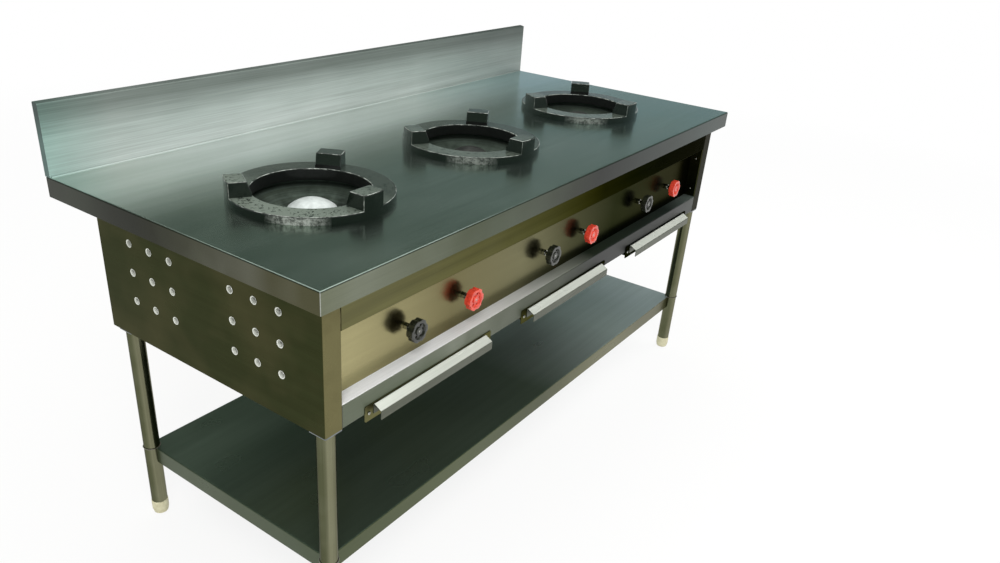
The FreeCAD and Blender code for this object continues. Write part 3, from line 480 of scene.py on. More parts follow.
@dataclass(frozen=True)
class SatinStainless(Finish):
    """Stainless sheet, belt-brushed to a satin finish, with wipe marks and a thin film of kitchen grease.

    The strokes stretch the highlights across the grain, and the film dulls them in soft patches. Faces that
    look one way take a painted tone of light and shade, and a sheet takes painted shade and painted reflection along
    its length.
    """

    steel: str
    shade: str
    film: str
    grain: Grain = Grain.ALONG_X
    roughness: float = 0.28
    film_amount: float = 0.3
    patch: float = 260.0
    stroke_width: float = 2.4
    stroke_length: float = 220.0
    stroke_amount: float = 0.16
    stroke_dark: str = "#8c8c86"
    groove: float = 0.03
    metallic: float = 1.0
    glancing: str = "#c0c0c0"
    painted_facing_tones: tuple[tuple[Facing, str], ...] = ()
    painted_fades: tuple[PaintedFade, ...] = ()

    def facing_mask(self, tree: Tree, where: Node, facing: Facing) -> Node:
        """1 on faces that look one way, 0 on the others.

        Args:
            tree: Node tree.
            where: Texture coordinate node.
            facing: The way they look.

        Returns:
            The mask.
        """
        axis, sign = facing.value
        split = add_node(tree, "SeparateXYZ", (where.outputs["Normal"],))
        return add_node(tree, "MapRange", (split.outputs[axis], 0.6 * sign, 0.9 * sign))

    def faded(self, tree: Tree, colour: Node, where: Node, fade: PaintedFade) -> Node:
        """Multiplies a colour by one painted fade of shade and reflection.

        Args:
            tree: Node tree.
            colour: Colour so far.
            where: Texture coordinate node.
            fade: The fade.

        Returns:
            The shaded colour.
        """
        start, end = fade.stops[0][0], fade.stops[-1][0]
        split = add_node(tree, "SeparateXYZ", (where.outputs["Object"],))
        along = add_node(tree, "MapRange", (split.outputs[fade.axis], start * MM, end * MM))
        ramp = add_node(tree, "ValToRGB", (along,))
        fill_ramp(ramp, tuple(((position - start) / (end - start), shade) for position, shade in fade.stops))
        mask = 1.0 if fade.facing is None else self.facing_mask(tree, where, fade.facing)
        return add_node(tree, "Mix", {0: mask, 6: colour, 7: ramp}, data_type="RGBA", blend_type="MULTIPLY")

    def surface(self, tree: Tree) -> Node:
        """Metal with strokes in its colour and height, and film in its colour and roughness."""
        node = partial(add_node, tree)
        # Real belt strokes are about 0.1 mm wide. They are drawn 2 to 3 mm wide, so that they show.
        strokes = self.noise(tree, self.grain.sizes(self.stroke_length, self.stroke_width), 3.0, 0.6)
        broad = self.noise(tree, self.grain.sizes(self.stroke_length * 4, self.stroke_width * 9))
        patches = self.noise(tree, self.patch, 3.0, 0.55)
        smears = self.noise(tree, self.grain.sizes(self.patch * 0.7, self.patch * 0.3))
        where = node("TexCoord")
        colour = node("Mix", {0: node("MapRange", (broad, 0.3, 0.7)), 6: self.steel, 7: self.shade}, data_type="RGBA")
        # Painted light and shade: faces that look one way get their own tone.
        for facing, tint in self.painted_facing_tones:
            mask = self.facing_mask(tree, where, facing)
            colour = node("Mix", {0: mask, 6: colour, 7: tint}, data_type="RGBA")
        dark = node("Mix", {0: 1.0, 6: colour, 7: self.stroke_dark}, data_type="RGBA", blend_type="MULTIPLY")
        stroke = node("MapRange", (strokes, 0.3, 0.7, 0.0, self.stroke_amount * 2))
        colour = node("Mix", {0: stroke, 6: colour, 7: dark}, data_type="RGBA")
        film = ((patches, 0.45, 0.7, self.film_amount), (smears, 0.58, 0.75, self.film_amount * 0.4))
        for haze, low, high, amount in film:
            share = node("MapRange", (haze, low, high, 0.0, amount))
            colour = node("Mix", {0: share, 6: colour, 7: self.film}, data_type="RGBA")
        # Painted shade and painted reflection that change along the sheet.
        for fade in self.painted_fades:
            colour = self.faded(tree, colour, where, fade)
        rough = node("MapRange", (smears, 0.3, 0.75, self.roughness * 0.88, self.roughness * 1.25))
        return self.skin(
            tree, colour, rough, strokes, self.groove, 0.3, Metallic=self.metallic, Specular_Tint=self.glancing
        )


@dataclass(frozen=True)
class EnamelledIron(Finish):
    """Sand-cast iron under black stove enamel: glossy, pitted, worn grey where pans and ladles rub it, with painted
    highlights.
    """

    middle: tuple[float, float] = (0.0, 0.0)
    wear_and_highlight: float = 0.4
    edge_wear_and_highlight: float = 0.75
    pit: float = 3.2
    chip: float = 9.0
    enamel: str = "#161e18"
    rust: str = "#2c2620"
    soot: str = "#0a0d0a"
    worn: str = "#7f897e"
    highlight_and_rubbed_edge: str = "#cfd6cd"
    worn_towards: tuple[float, float, float] = (-0.94, -0.34, 0.0)
    highlight_towards: tuple[float, float, float] = (-0.8, -0.6, 0.0)
    worn_from: float = -30.0
    worn_full: float = 130.0
    rim_from: float = -20.0
    rim_full: float = -80.0

    def surface(self, tree: Tree) -> Node:
        """Gloss black with pits everywhere, worn places, painted highlights, and soot on the inner wall."""
        node = partial(add_node, tree)
        grit = self.noise(tree, self.pit, 3.0, 0.6)
        lumps = self.noise(tree, self.pit * 6, 3.0, 0.6)
        chips = self.noise(tree, self.chip, 4.0, 0.7)
        where = node("TexCoord")
        spot, normal = where.outputs["Object"], where.outputs["Normal"]
        up = node("SeparateXYZ", (normal,)).outputs["Z"]
        # Pans are dragged over one side of the ring: there the top rubs grey and the pits stay black.
        reach = node("VectorMath", (spot, self.worn_towards), operation="DOT_PRODUCT")
        start = self.middle[0] * self.worn_towards[0] + self.middle[1] * self.worn_towards[1]
        ends = ((start + self.worn_from) * MM, (start + self.worn_full) * MM)
        near = node("MapRange", (reach, *ends, 0.12, self.wear_and_highlight))
        top = node("MapRange", (up, 0.9, 0.99))
        specks = node("Math", (node("MapRange", (chips, 0.54, 0.62, 1.0, 0.1)), top), operation="MULTIPLY")
        worn = node("Math", (specks, near), operation="MULTIPLY")
        # The rounded edges are worn and painted bright as a highlight: there the normal leans half-way up.
        rising, falling = node("MapRange", (up, 0.5, 0.65)), node("MapRange", (up, 0.8, 0.93, 1.0, 0.0))
        leaning = node("Math", (rising, falling), operation="MULTIPLY")
        lumpy = node("MapRange", (lumps, 0.42, 0.6, 0.05, self.edge_wear_and_highlight))
        edge = node("Math", (leaning, lumpy), operation="MULTIPLY")
        rusty = node("MapRange", (grit, 0.6, 0.8, 0.0, 0.4))
        colour = node("Mix", {0: rusty, 6: self.enamel, 7: self.rust}, data_type="RGBA")
        # The outer face towards the cook gets a painted highlight, in patches as broad as a ladle.
        outward = node("VectorMath", (normal, self.highlight_towards), operation="DOT_PRODUCT")
        facing = node("MapRange", (outward, 0.93, 1.0, 0.0, self.wear_and_highlight))
        patchy = node("MapRange", (chips, 0.4, 0.6, 1.0, 0.2))
        painted_highlight = node("Math", (facing, patchy), operation="MULTIPLY")
        # Inside the ring the flame leaves dull soot.
        axis = (self.middle[0] * MM, self.middle[1] * MM, 0.0)
        centred = node("VectorMath", (spot, axis), operation="SUBTRACT")
        inward = node("VectorMath", (centred, normal), operation="DOT_PRODUCT")
        wall = node("MapRange", (inward, self.rim_from * MM, self.rim_full * MM))
        upright = node("MapRange", (up, 0.3, 0.5, 1.0, 0.0))
        sooted = node("Math", (wall, upright), operation="MULTIPLY")
        layers = ((worn, self.worn), (edge, self.highlight_and_rubbed_edge), (painted_highlight, self.highlight_and_rubbed_edge), (sooted, self.soot))
        for share, shade in layers:
            colour = node("Mix", {0: share, 6: colour, 7: shade}, data_type="RGBA")
        gloss = node("MapRange", (lumps, 0.35, 0.7, 0.10, 0.24))
        rough = node("Math", (gloss, node("MapRange", (sooted, 0.0, 1.0, 0.0, 0.6))), operation="ADD")
        speckle = node("Math", (lumps, grit), operation="ADD")
        return self.skin(
            tree, colour, rough, speckle, 0.35, 0.5, Metallic=0.0, IOR=1.5, Coat_Weight=0.3, Coat_Roughness=0.06
        )


@dataclass(frozen=True)
class GrittyMetal(Finish):
    """Cast or galvanised metal with an even, slightly mottled grain in its colour and height."""

    metal: str
    mottle: str
    grit: float = 1.6
    roughness: float = 0.45
    metallic: float = 1.0
    relief: float = 0.12

    def surface(self, tree: Tree) -> Node:
        """Mottled colour, with grit in the relief and roughness."""
        node = partial(add_node, tree)
        grit = self.noise(tree, self.grit, 3.0, 0.6)
        share = node("MapRange", (self.noise(tree, self.grit * 12, 3.0, 0.6), 0.35, 0.65))
        colour = node("Mix", {0: share, 6: self.metal, 7: self.mottle}, data_type="RGBA")
        rough = node("MapRange", (grit, 0.3, 0.7, self.roughness * 0.85, self.roughness * 1.2))
        return self.skin(tree, colour, rough, grit, self.relief, 0.5, Metallic=self.metallic)


@dataclass(frozen=True)
class MouldedPlastic(Finish):
    """Compression-moulded phenolic or injection-moulded nylon: smooth gloss, faint flow marks, handling dirt."""

    plastic: str
    flow: str
    dirt: str
    roughness: float = 0.25
    coat: float = 0.3
    dirt_amount: float = 0.35
    flow_size: float = 9.0
    dirt_size: float = 4.0
    grain_size: float = 0.8

    def surface(self, tree: Tree) -> Node:
        """Plastic with soft flow marks, dirt in patches and a fine moulded skin."""
        node = partial(add_node, tree)
        dirt = self.noise(tree, self.dirt_size, 4.0, 0.65)
        grain = self.noise(tree, self.grain_size, 1.0)
        share = node("MapRange", (self.noise(tree, self.flow_size), 0.35, 0.65))
        colour = node("Mix", {0: share, 6: self.plastic, 7: self.flow}, data_type="RGBA")
        share = node("MapRange", (dirt, 0.56, 0.75, 0.0, self.dirt_amount))
        colour = node("Mix", {0: share, 6: colour, 7: self.dirt}, data_type="RGBA")
        rough = node("MapRange", (dirt, 0.4, 0.75, self.roughness, self.roughness * 1.8))
        return self.skin(
            tree, colour, rough, grain, 0.05, 0.25, IOR=1.5, Coat_Weight=self.coat, Coat_Roughness=0.1
        )


@dataclass(frozen=True)
class HeatedBowl(Finish):
    """Pressed stainless bowl under a flame: grey-green heat tints, with soot towards its mouth."""

    steel: str = "#66746a"
    tint: str = "#424b3c"
    soot: str = "#0d0e0c"
    patch: float = 45.0
    spun_ring: tuple[float, float, float] = (400.0, 400.0, 2.2)
    mouth_height: float = 794.0
    rim_height: float = 846.0

    def surface(self, tree: Tree) -> Node:
        """Metal whose soot thickens in patches towards the bowl's mouth."""
        node = partial(add_node, tree)
        patches = self.noise(tree, self.patch, 4.0, 0.6)
        rings = self.noise(tree, self.spun_ring)
        height = node("SeparateXYZ", (node("TexCoord").outputs["Object"],)).outputs["Z"]
        depth = node("MapRange", (height, self.mouth_height * MM, self.rim_height * MM, 0.85, 0.1))
        sooty = node("Math", (depth, node("MapRange", (patches, 0.3, 0.7, 0.4, 1.3))), operation="MULTIPLY")
        heated = node("MapRange", (rings, 0.3, 0.7, 0.0, 0.7))
        colour = node("Mix", {0: heated, 6: self.steel, 7: self.tint}, data_type="RGBA")
        colour = node("Mix", {0: sooty, 6: colour, 7: self.soot}, data_type="RGBA")
        rough = node("MapRange", (patches, 0.3, 0.7, 0.32, 0.55))
        return self.skin(tree, colour, rough, rings, 0.08, 0.3, Metallic=0.9)


@dataclass(frozen=True)
class Finishes:
    """All finishes of the range."""

    # Painted light: the skirt's faces that look front, left, right and back get painted shade; the top gets painted
    # reflection, darker towards the front, with a painted tint at both ends; the skirt's front gets painted
    # reflection, darker towards the right; the left faces get painted shade towards the back.
    worktop: Finish = SatinStainless(
        "worktop_satin", "#fbfdfc", "#f0f4f1",
            "#e9eeea", Grain.ALONG_X, 0.21, 0.15, patch=420.0, stroke_amount=0.10,
        glancing="#ffffff",
        painted_facing_tones=((Facing.FRONT, "#767b67"), (Facing.LEFT, "#504f38"), (Facing.RIGHT, "#504f38"),
            (Facing.BACK, "#62665a")),
        painted_fades=(
            PaintedFade("Y", (
                (-400.0, "#b8c6be"), (-50.0, "#bcc8c0"), (130.0, "#e0e5e1"), (250.0, "#ffffff"), (389.0, "#ffffff"),
            ), Facing.UP),
            PaintedFade("X", ((-900.0, "#e4e8e4"), (-760.0, "#f2f4f0"), (-500.0, "#ffffff"), (200.0, "#ffffff"),
                (700.0, "#e4fbff")), Facing.UP),
            PaintedFade("X", ((-900.0, "#ffffff"), (-380.0, "#a8b0a6"), (50.0, "#383d3a"),
                (680.0, "#40605e")), Facing.FRONT),
            PaintedFade("Y", ((-350.0, "#ffffff"), (-100.0, "#a0a292"), (100.0, "#626c5a")), Facing.LEFT),
        ),
    )
    # Painted light: the top edge, the ends and the back get painted shade; the front gets painted reflection, darker
    # towards the top and towards the right end.
    splash: Finish = SatinStainless(
        "splash_satin", "#dce6e2", "#c6d1cc", "#eaf1ed", Grain.ALONG_X, 0.38, 0.3, patch=380.0, metallic=0.12,
        painted_facing_tones=(
            (Facing.UP, "#8d9792"), (Facing.LEFT, "#5f7370"), (Facing.RIGHT, "#5f7370"), (Facing.BACK, "#a7afab"),
        ),
        painted_fades=(
            PaintedFade("Z", ((860.0, "#ffffff"), (925.0, "#f0f3f2"), (985.0, "#a2a6a3"))),
            PaintedFade("X", ((-900.0, "#d0e8e4"), (-740.0, "#ffffff"), (-400.0, "#ffffff"), (300.0, "#ecedec"),
                (850.0, "#a8acab"))),
        ),
    )
    # Painted reflection: the dark olive stands for the dark room that the side panels mirror; faces towards the front
    # are painted lighter, and darker towards the right.
    side: Finish = SatinStainless(
        "side_satin", "#363b22", "#31351d", "#504c33", Grain.ALONG_Y, 0.30, 0.5, patch=210.0, stroke_amount=0.08,
        glancing="#d0d0cc", painted_facing_tones=((Facing.FRONT, "#77724f"),),
        painted_fades=(PaintedFade("X", ((-700.0, "#ffffff"), (600.0, "#3c3c34")), Facing.FRONT),),
    )
    # Painted reflection: the olive colour and the fade, light at the left end and dark towards the right, stand for
    # the room that the front sheets mirror.
    front: Finish = SatinStainless(
        "front_satin", "#807e58", "#6e6c4e", "#8f8d70", Grain.ALONG_X, 0.30, 0.2, glancing="#b0b0a8",
        stroke_amount=0.09,
        painted_fades=(PaintedFade("X", ((-700.0, "#f0f0ec"), (-450.0, "#d8d8cc"), (-150.0, "#aeb0a2"), (150.0, "#5a5e58"),
            (500.0, "#38403c"), (800.0, "#202826"))),),
    )
    back: Finish = SatinStainless(
        "back_satin", "#6c6b52", "#5f5e49",
            "#7c7b62", Grain.ALONG_X, 0.34, 0.25, stroke_amount=0.08, glancing="#a8a89e"
    )
    # Painted reflection: the olive-gold colour and the fade, light at the left and dark towards the right, stand for
    # the room that the polished panel mirrors.
    panel: Finish = SatinStainless(
        "panel_polished", "#b4ac82", "#aea67d",
            "#b6b08e", Grain.ALONG_X, 0.22, 0.12, patch=200.0, stroke_amount=0.04,
        groove=0.008, glancing="#c2c2ba",
        painted_fades=(
            PaintedFade("X", (
                (-760.0, "#f4f4f0"), (-690.0, "#e6e6e2"), (-450.0, "#b2b1ac"), (-170.0, "#b6bac0"),
                    (60.0, "#767c7e"),
                (300.0, "#3a4440"), (780.0, "#383838"),
            )),
        ),
    )
    # Painted light: the ledge's top is a white painted highlight and its front face painted shade; the rail fades
    # from light at the left to dark, with a painted highlight at its right end.
    lower_rail: Finish = SatinStainless(
        "ledge_satin", "#999c92", "#85887d", "#b0b2a8", Grain.ALONG_X, 0.32, 0.3, stroke_amount=0.08, metallic=0.15,
        painted_facing_tones=((Facing.UP, "#ffffff"), (Facing.FRONT, "#5c6452")),
        painted_fades=(
            PaintedFade("X", ((-480.0, "#ffffff"), (-300.0, "#dddcd8"), (0.0, "#868a80"), (150.0, "#283026"),
                (640.0, "#262e2a"), (830.0, "#5e6862"), (850.0, "#ffffff"))),
        ),
    )
    # Painted light: faces that look front, left, right and back get painted tones; painted shade darkens the shelf
    # under the body and lightens towards its open right end; its front is painted darker towards the right.
    shelf: Finish = SatinStainless(
        "shelf_satin", "#e8efee", "#dde5e3", "#f0f4f4", Grain.ALONG_X, 0.30, 0.15, patch=380.0, stroke_amount=0.06,
        groove=0.015, metallic=0.8, glancing="#ffffff",
        painted_facing_tones=(
            (Facing.FRONT, "#e0dfba"), (Facing.LEFT, "#a8aa8c"), (Facing.RIGHT, "#80826c"),
                (Facing.BACK, "#76786a"),
        ),
        painted_fades=(
            PaintedFade("X", ((-860.0, "#6c7a6a"), (0.0, "#788672"), (450.0, "#eef6f4"), (700.0, "#f4fbff"))),
            PaintedFade("X", ((-400.0, "#d8d4c8"), (100.0, "#a09a80"), (600.0, "#6c684e")), Facing.FRONT),
        ),
    )
    # Painted shade: faces of the legs that look left are darker.
    leg: Finish = SatinStainless(
        "leg_tube_satin", "#86866c", "#74745c", "#9c9c86", Grain.ALONG_Z, 0.20, 0.15, patch=120.0, stroke_width=1.4,
        painted_facing_tones=((Facing.LEFT, "#5c5f46"),),
    )
    # Painted highlight: the tops of the pulls are near white, a painted sheen over a darker pull.
    tray: Finish = SatinStainless(
        "tray_satin", "#5c6052", "#4e5246", "#a0a49a", Grain.ALONG_X, 0.25, 0.08, metallic=0.3, stroke_amount=0.1,
        painted_facing_tones=((Facing.UP, "#eef2e8"),),
    )
    # Painted light: the collars are near white, standing for the light seen in the vent holes, though they are drawn
    # from the same sheet as the dark side panels.
    collar: Finish = SatinStainless(
        "drawn_collar", "#f4f6ee", "#e2e5dc",
            "#fafbf6", Grain.ALONG_X, 0.30, 0.2, patch=20.0, stroke_width=0.8, metallic=0.25
    )
    bright: Finish = SatinStainless(
        "polished_bright", "#d8d8d0", "#a8a89e",
            "#e4e4de", Grain.ALONG_Y, 0.12, 0.1, patch=30.0, stroke_width=0.6, groove=0.01
    )
    weld: Finish = GrittyMetal("tig_weld_bead", "#9d9a8c", "#6d665a", 0.9, 0.30, 1.0, 0.15)
    galvanised: Finish = GrittyMetal("galvanised_steel", "#8f9496", "#74797c", 2.5, 0.42, 1.0, 0.06)
    cap: Finish = GrittyMetal("cast_aluminium", "#d4dbd8", "#c0c7c4", 1.2, 0.4, 0.2, 0.08)
    sooted_cap: Finish = GrittyMetal("sooted_aluminium", "#3c3e3a", "#1f201e", 2.5, 0.55, 0.4, 0.1)
    grey_iron: Finish = GrittyMetal("grey_cast_iron", "#3a3a38", "#262624", 1.8, 0.6, 0.6, 0.25)
    brass: Finish = GrittyMetal("turned_brass", "#c2a25a", "#a5854a", 0.8, 0.25, 1.0, 0.02)
    copper: Finish = GrittyMetal("drawn_copper", "#b5714a", "#8f5a3e", 2.0, 0.28, 1.0, 0.02)
    gas_pipe: Finish = GrittyMetal("black_steel_pipe", "#2c2d2e", "#1f2021", 1.4, 0.45, 0.3, 0.08)
    rings: tuple[Finish, ...] = (
        EnamelledIron("enamelled_iron_1", middle=(-583.0, -61.5), wear_and_highlight=0.7),
        EnamelledIron("enamelled_iron_2", middle=(-18.0, -61.5), wear_and_highlight=0.4),
        EnamelledIron("enamelled_iron_3", middle=(547.0, -61.5), wear_and_highlight=0.4),
    )
    bowl: Finish = HeatedBowl("heat_tinted_bowl")
    red: Finish = MouldedPlastic("red_phenolic", "#e84e38", "#d03c2c", "#5a1f18")
    black: Finish = MouldedPlastic("black_phenolic", "#191b14", "#24271c", "#4a4d3a")
    nylon: Finish = MouldedPlastic("cream_nylon", "#ddd8b8", "#d2ccaa", "#8f8a6c", 0.45, 0.0, 0.4)


FINISHES = Finishes()


# ---------------------------------------------------------------- studio
@dataclass(frozen=True)
class Softbox:
    """One soft square lamp: its place, the height that it looks at, its side and its watts."""

    name: str
    where: tuple[float, float, float]
    aim_height: float
    side: float
    power: float
    mirrored: bool = False

    def add(self) -> None:
        """Adds the lamp to the scene."""
        data = bpy.data.lights.new(self.name, "AREA")
        data.size, data.energy = self.side * MM, self.power
        lamp = bpy.data.objects.new(self.name, data)
        bpy.context.scene.collection.objects.link(lamp)
        lamp.location = Vector(self.where) * MM
        lamp.visible_glossy = self.mirrored
        sight = Vector((0, 0, self.aim_height * MM)) - Vector(self.where) * MM
        lamp.rotation_euler = sight.to_track_quat("-Z", "Y").to_euler()


@dataclass
class Studio:
    """Pale floor, soft lamps, world and the camera at the photograph's angle."""

    camera_place: tuple[float, float, float] = (-1748.5, -1292.1, 1448.4)
    camera_turn: tuple[float, float, float] = (62.0319, -3.2931, -53.4445)
    focal_length: float = 29.873
    sensor_width: float = 36.0
    shift: tuple[float, float] = (0.03213, 0.04156)
    farthest_seen: float = 200000.0
    floor_size: float = 60000.0
    floor_drop: float = 0.5
    floor_grey: str = "#f0f0ee"
    floor_glow: float = 0.85
    glow_from: float = 1200.0
    glow_full: float = 5000.0
    white: str = "#ffffff"
    ambient: float = 0.62
    ambient_tint: str = "#f4f5f2"
    room: Stops = (
        (0.05, "#ffffff"), (0.13, "#b9c8cc"), (0.21, "#758a91"), (0.29, "#6e7a74"), (0.36, "#5b6860"),
        (0.45, "#47534b"),
    )
    # Only the wide, weak top light is mirrored: the other two would burn a white patch into the sheets.
    lamps: tuple[Softbox, ...] = (
        Softbox("key_softbox", (-2600.0, -2200.0, 3400.0), 700.0, 1800.0, 90.0),
        Softbox("fill_softbox", (2800.0, -1600.0, 2600.0), 600.0, 2200.0, 35.0),
        Softbox("top_softbox", (200.0, 300.0, 3600.0), 800.0, 4500.0, 74.0, mirrored=True),
    )

    def camera(self) -> None:
        """Adds the camera and makes it the scene's."""
        data = bpy.data.cameras.new("studio_camera")
        data.sensor_width = self.sensor_width
        data.lens = self.focal_length
        data.shift_x, data.shift_y = self.shift
        data.clip_end = self.farthest_seen * MM
        camera = bpy.data.objects.new("studio_camera", data)
        bpy.context.scene.collection.objects.link(camera)
        camera.location = Vector(self.camera_place) * MM
        camera.rotation_euler = tuple(math.radians(a) for a in self.camera_turn)
        bpy.context.scene.camera = camera

    def seen_rays(self, tree: Tree) -> Node:
        """1 for camera, glossy and transmission rays, 0 for the rest."""
        rays = add_node(tree, "LightPath").outputs
        first = add_node(tree, "Math", (rays["Is Camera Ray"], rays["Is Glossy Ray"]), operation="MAXIMUM")
        return add_node(tree, "Math", (first, rays["Is Transmission Ray"]), operation="MAXIMUM")

    def world(self) -> None:
        """White backdrop, a room that metals see as grey overhead, and plain ambient light on the object."""
        world = bpy.data.worlds.new("studio_world")
        bpy.context.scene.world = world
        world.use_nodes = True
        tree = world.node_tree
        tree.nodes.clear()
        split = add_node(tree, "SeparateXYZ", (add_node(tree, "TexCoord").outputs["Generated"],))
        sky = add_node(tree, "ValToRGB", (split.outputs["Z"],))
        fill_ramp(sky, self.room)
        direct = add_node(tree, "LightPath").outputs["Is Camera Ray"]
        backdrop = add_node(tree, "Mix", {0: direct, 6: sky, 7: self.white}, data_type="RGBA")
        seen = add_node(tree, "Background", (backdrop, 1.0))
        lit = add_node(tree, "Background", (self.ambient_tint, self.ambient))
        mixed = add_node(tree, "MixShader", (self.seen_rays(tree), lit, seen))
        add_node(tree, "OutputWorld", {"Surface": mixed})

    def floor(self) -> None:
        """Adds the pale floor, which keeps a soft shadow and fades into the backdrop away from the range."""
        deselect()
        bpy.ops.mesh.primitive_plane_add(size=self.floor_size * MM, location=(0, 0, -self.floor_drop * MM))
        floor = settle("studio_floor")
        material = bpy.data.materials.new("pale_floor")
        material.use_nodes = True
        tree = material.node_tree
        tree.nodes.clear()
        matt = add_node(tree, "BsdfDiffuse", (self.floor_grey,))
        glow = add_node(tree, "Emission", (self.white, 1.0))
        distance = add_node(tree, "VectorMath", (add_node(tree, "TexCoord").outputs["Object"],), operation="LENGTH")
        far = (distance, self.glow_from * MM, self.glow_full * MM, self.floor_glow, 1.0)
        share = add_node(
            tree, "Math", (self.seen_rays(tree), add_node(tree, "MapRange", far)), operation="MULTIPLY"
        )
        add_node(tree, "OutputMaterial", {"Surface": add_node(tree, "MixShader", (share, matt, glow))})
        floor.data.materials.append(material)

    def build(self) -> None:
        """Sets up view, world, floor, lamps and camera."""
        bpy.context.scene.view_settings.view_transform = "Standard"
        self.world()
        self.floor()
        for lamp in self.lamps:
            lamp.add()
        self.camera()
        LOG.info("studio ready")


# ---------------------------------------------------------------- worktop
@dataclass
class Worktop:
    """Pressed top and splashback, with the bead that seals their joint."""

    bead: float = 3.0
    bead_short_of_end: float = 3.0
    bead_round: float = 2.7
    bead_steps: int = 4
    bead_profile: float = 0.35
    long_edge: float = 500.0

    def seal(self) -> None:
        """Adds the welded and wiped bead along the foot of the splashback."""
        low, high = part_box("backsplash")
        side, half = self.bead * MM, self.bead * MM / 2
        size = Vector((high.x - low.x - 2 * self.bead_short_of_end * MM, side, side))
        piece = add_block("splash_foot_bead", size, Vector(((low.x + high.x) / 2, low.y - half, low.z + half)))
        edit(piece, "EDGE")
        outer = Vector((0, low.y - half, low.z + half))
        choose(
            piece, lambda m, run: run.length > self.long_edge * MM and m.y < outer.y and m.z > outer.z, "EDGE"
        )
        bpy.ops.mesh.bevel(offset=self.bead_round * MM, segments=self.bead_steps, profile=self.bead_profile)
        leave_edit()
        smooth(piece, 50)
        place(piece, STAND, "worktop_steel", FINISHES.splash)

    def build(self) -> None:
        """Dresses the top and adds the bead."""
        dress(("worktop",), FINISHES.worktop)
        dress(("backsplash",), FINISHES.splash)
        dress(("worktop_stiffeners",), FINISHES.galvanised)
        self.seal()


# ---------------------------------------------------------------- body
@dataclass
class Body:
    """Side panels with drawn vent collars, front rails, control panel and pop rivets."""

    vent_radius: float = 7.2
    vent_pitch: float = 66.0
    vent_height: float = 688.0
    vent_clusters: tuple[float, float] = (-202.0, 113.0)
    collar_play: float = 0.1
    collar_depth: float = 7.2
    collar_wall: float = 0.35
    collar_seat: float = 0.4
    lip: float = 0.4
    lip_share: float = 0.985
    bends: Steps = ((0.30, 1.06), (0.18, 1.08), (0.06, 1.06))
    rivet_radius: float = 3.2
    rivet_rise: float = 1.3
    rivet_steps: Steps = ((1.12, 0.5), (0.896, 0.0), (0.15, -0.5))
    stile_y: float = -358.3
    stile_heights: tuple[float, ...] = (603.0, 703.0)
    back_x: float = 860.0
    back_heights: tuple[float, ...] = (550.0, 640.0, 730.0, 820.0)

    def collar(self) -> Piece:
        """Inner face of one drawn collar of the left panel, at the origin, whose near-white finish is painted light.

        Returns:
            The collar, whose hole runs along X.
        """
        length, radius = self.collar_depth, self.vent_radius - self.collar_play
        piece = add_cylinder("vent_collar", radius, length, Vector((length / 2 * MM, 0, 0)), "X", fill="NOTHING")
        edit(piece, "VERT")
        choose(piece, lambda p, _: p.x > (length - 0.5) * MM, "VERT")
        extrude(self.lip, 0, 0)
        bpy.ops.transform.resize(
            value=(1, self.lip_share, self.lip_share), center_override=((length + self.lip) * MM, 0, 0)
        )
        # The sheet bends in over a small radius. The collar's bright finish is painted light.
        edge = 0.0
        for step, growth in self.bends:
            choose(piece, lambda p, _: p.x < (edge + 0.01) * MM, "VERT")
            extrude(-step, 0, 0)
            bpy.ops.transform.resize(value=(1, growth, growth), center_override=(0, 0, 0))
            edge -= step
        leave_edit()
        apply_modifier(piece, "SOLIDIFY", thickness=self.collar_wall * MM, offset=-1.0)
        turn_outwards(piece)
        smooth(piece, 40)
        return piece

    def collars(self, side: int) -> None:
        """Adds the eighteen collars of one side panel.

        Args:
            side: -1 for the left panel, 1 for the right one.
        """
        pattern = self.collar()
        outer = (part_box("side_panel_left")[0].x + self.collar_seat * MM) * -side
        turn = Matrix.Rotation(math.pi if side > 0 else 0.0, 4, "Z")
        copies = []
        for cluster, i, j in product(self.vent_clusters, (-1, 0, 1), (-1, 0, 1)):
            y, z = cluster + i * self.vent_pitch, self.vent_height + j * self.vent_pitch
            copies.append(copy_to(pattern, Vector((outer, y * MM, z * MM)), turn))
        bpy.data.objects.remove(pattern)
        name = "vent_collars_left" if side < 0 else "vent_collars_right"
        place(join(copies, name), STAND, "body_steel", FINISHES.collar)

    def rivet(self) -> Piece:
        """One pop rivet at the origin, its head towards -X.

        Returns:
            The rivet.
        """
        middle = Vector((-self.rivet_rise / 2 * MM, 0, 0))
        piece = add_cylinder("rivet", self.rivet_radius, self.rivet_rise, middle, "X", 20)
        edit(piece)
        choose(piece, lambda _, n: n.x < -0.9)
        inset(*self.rivet_steps)
        leave_edit()
        smooth(piece, 50)
        return piece

    def rivets(self) -> None:
        """Rivets on the inner returns of the stiles and along the back panel's edges."""
        pattern = self.rivet()
        low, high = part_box("front_top_rail")
        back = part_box("side_panel_left")[1].y
        stiles = product(((low.x, math.pi), (high.x, 0.0)), (self.stile_y * MM,), self.stile_heights)
        rear = [(x * MM, -math.pi / 2) for x in (-self.back_x, self.back_x)]
        copies = []
        for (x, angle), y, height in (*stiles, *product(rear, (back,), self.back_heights)):
            copies.append(copy_to(pattern, Vector((x, y, height * MM)), Matrix.Rotation(angle, 4, "Z")))
        bpy.data.objects.remove(pattern)
        place(join(copies, "body_rivets"), STAND, "body_steel", FINISHES.bright)

    def build(self) -> None:
        """Dresses the body's sheets and adds collars and rivets."""
        dress(("side_panel_left", "side_panel_right"), FINISHES.side)
        dress(("front_top_rail",), FINISHES.front)
        dress(("back_panel",), FINISHES.back)
        dress(("front_lower_rail",), FINISHES.lower_rail)
        dress(("control_panel",), FINISHES.panel)
        dress(("base_frame", "burner_hangers", "tray_runners", "leg_plates"), FINISHES.galvanised)
        for side in (-1, 1):
            self.collars(side)
        self.rivets()


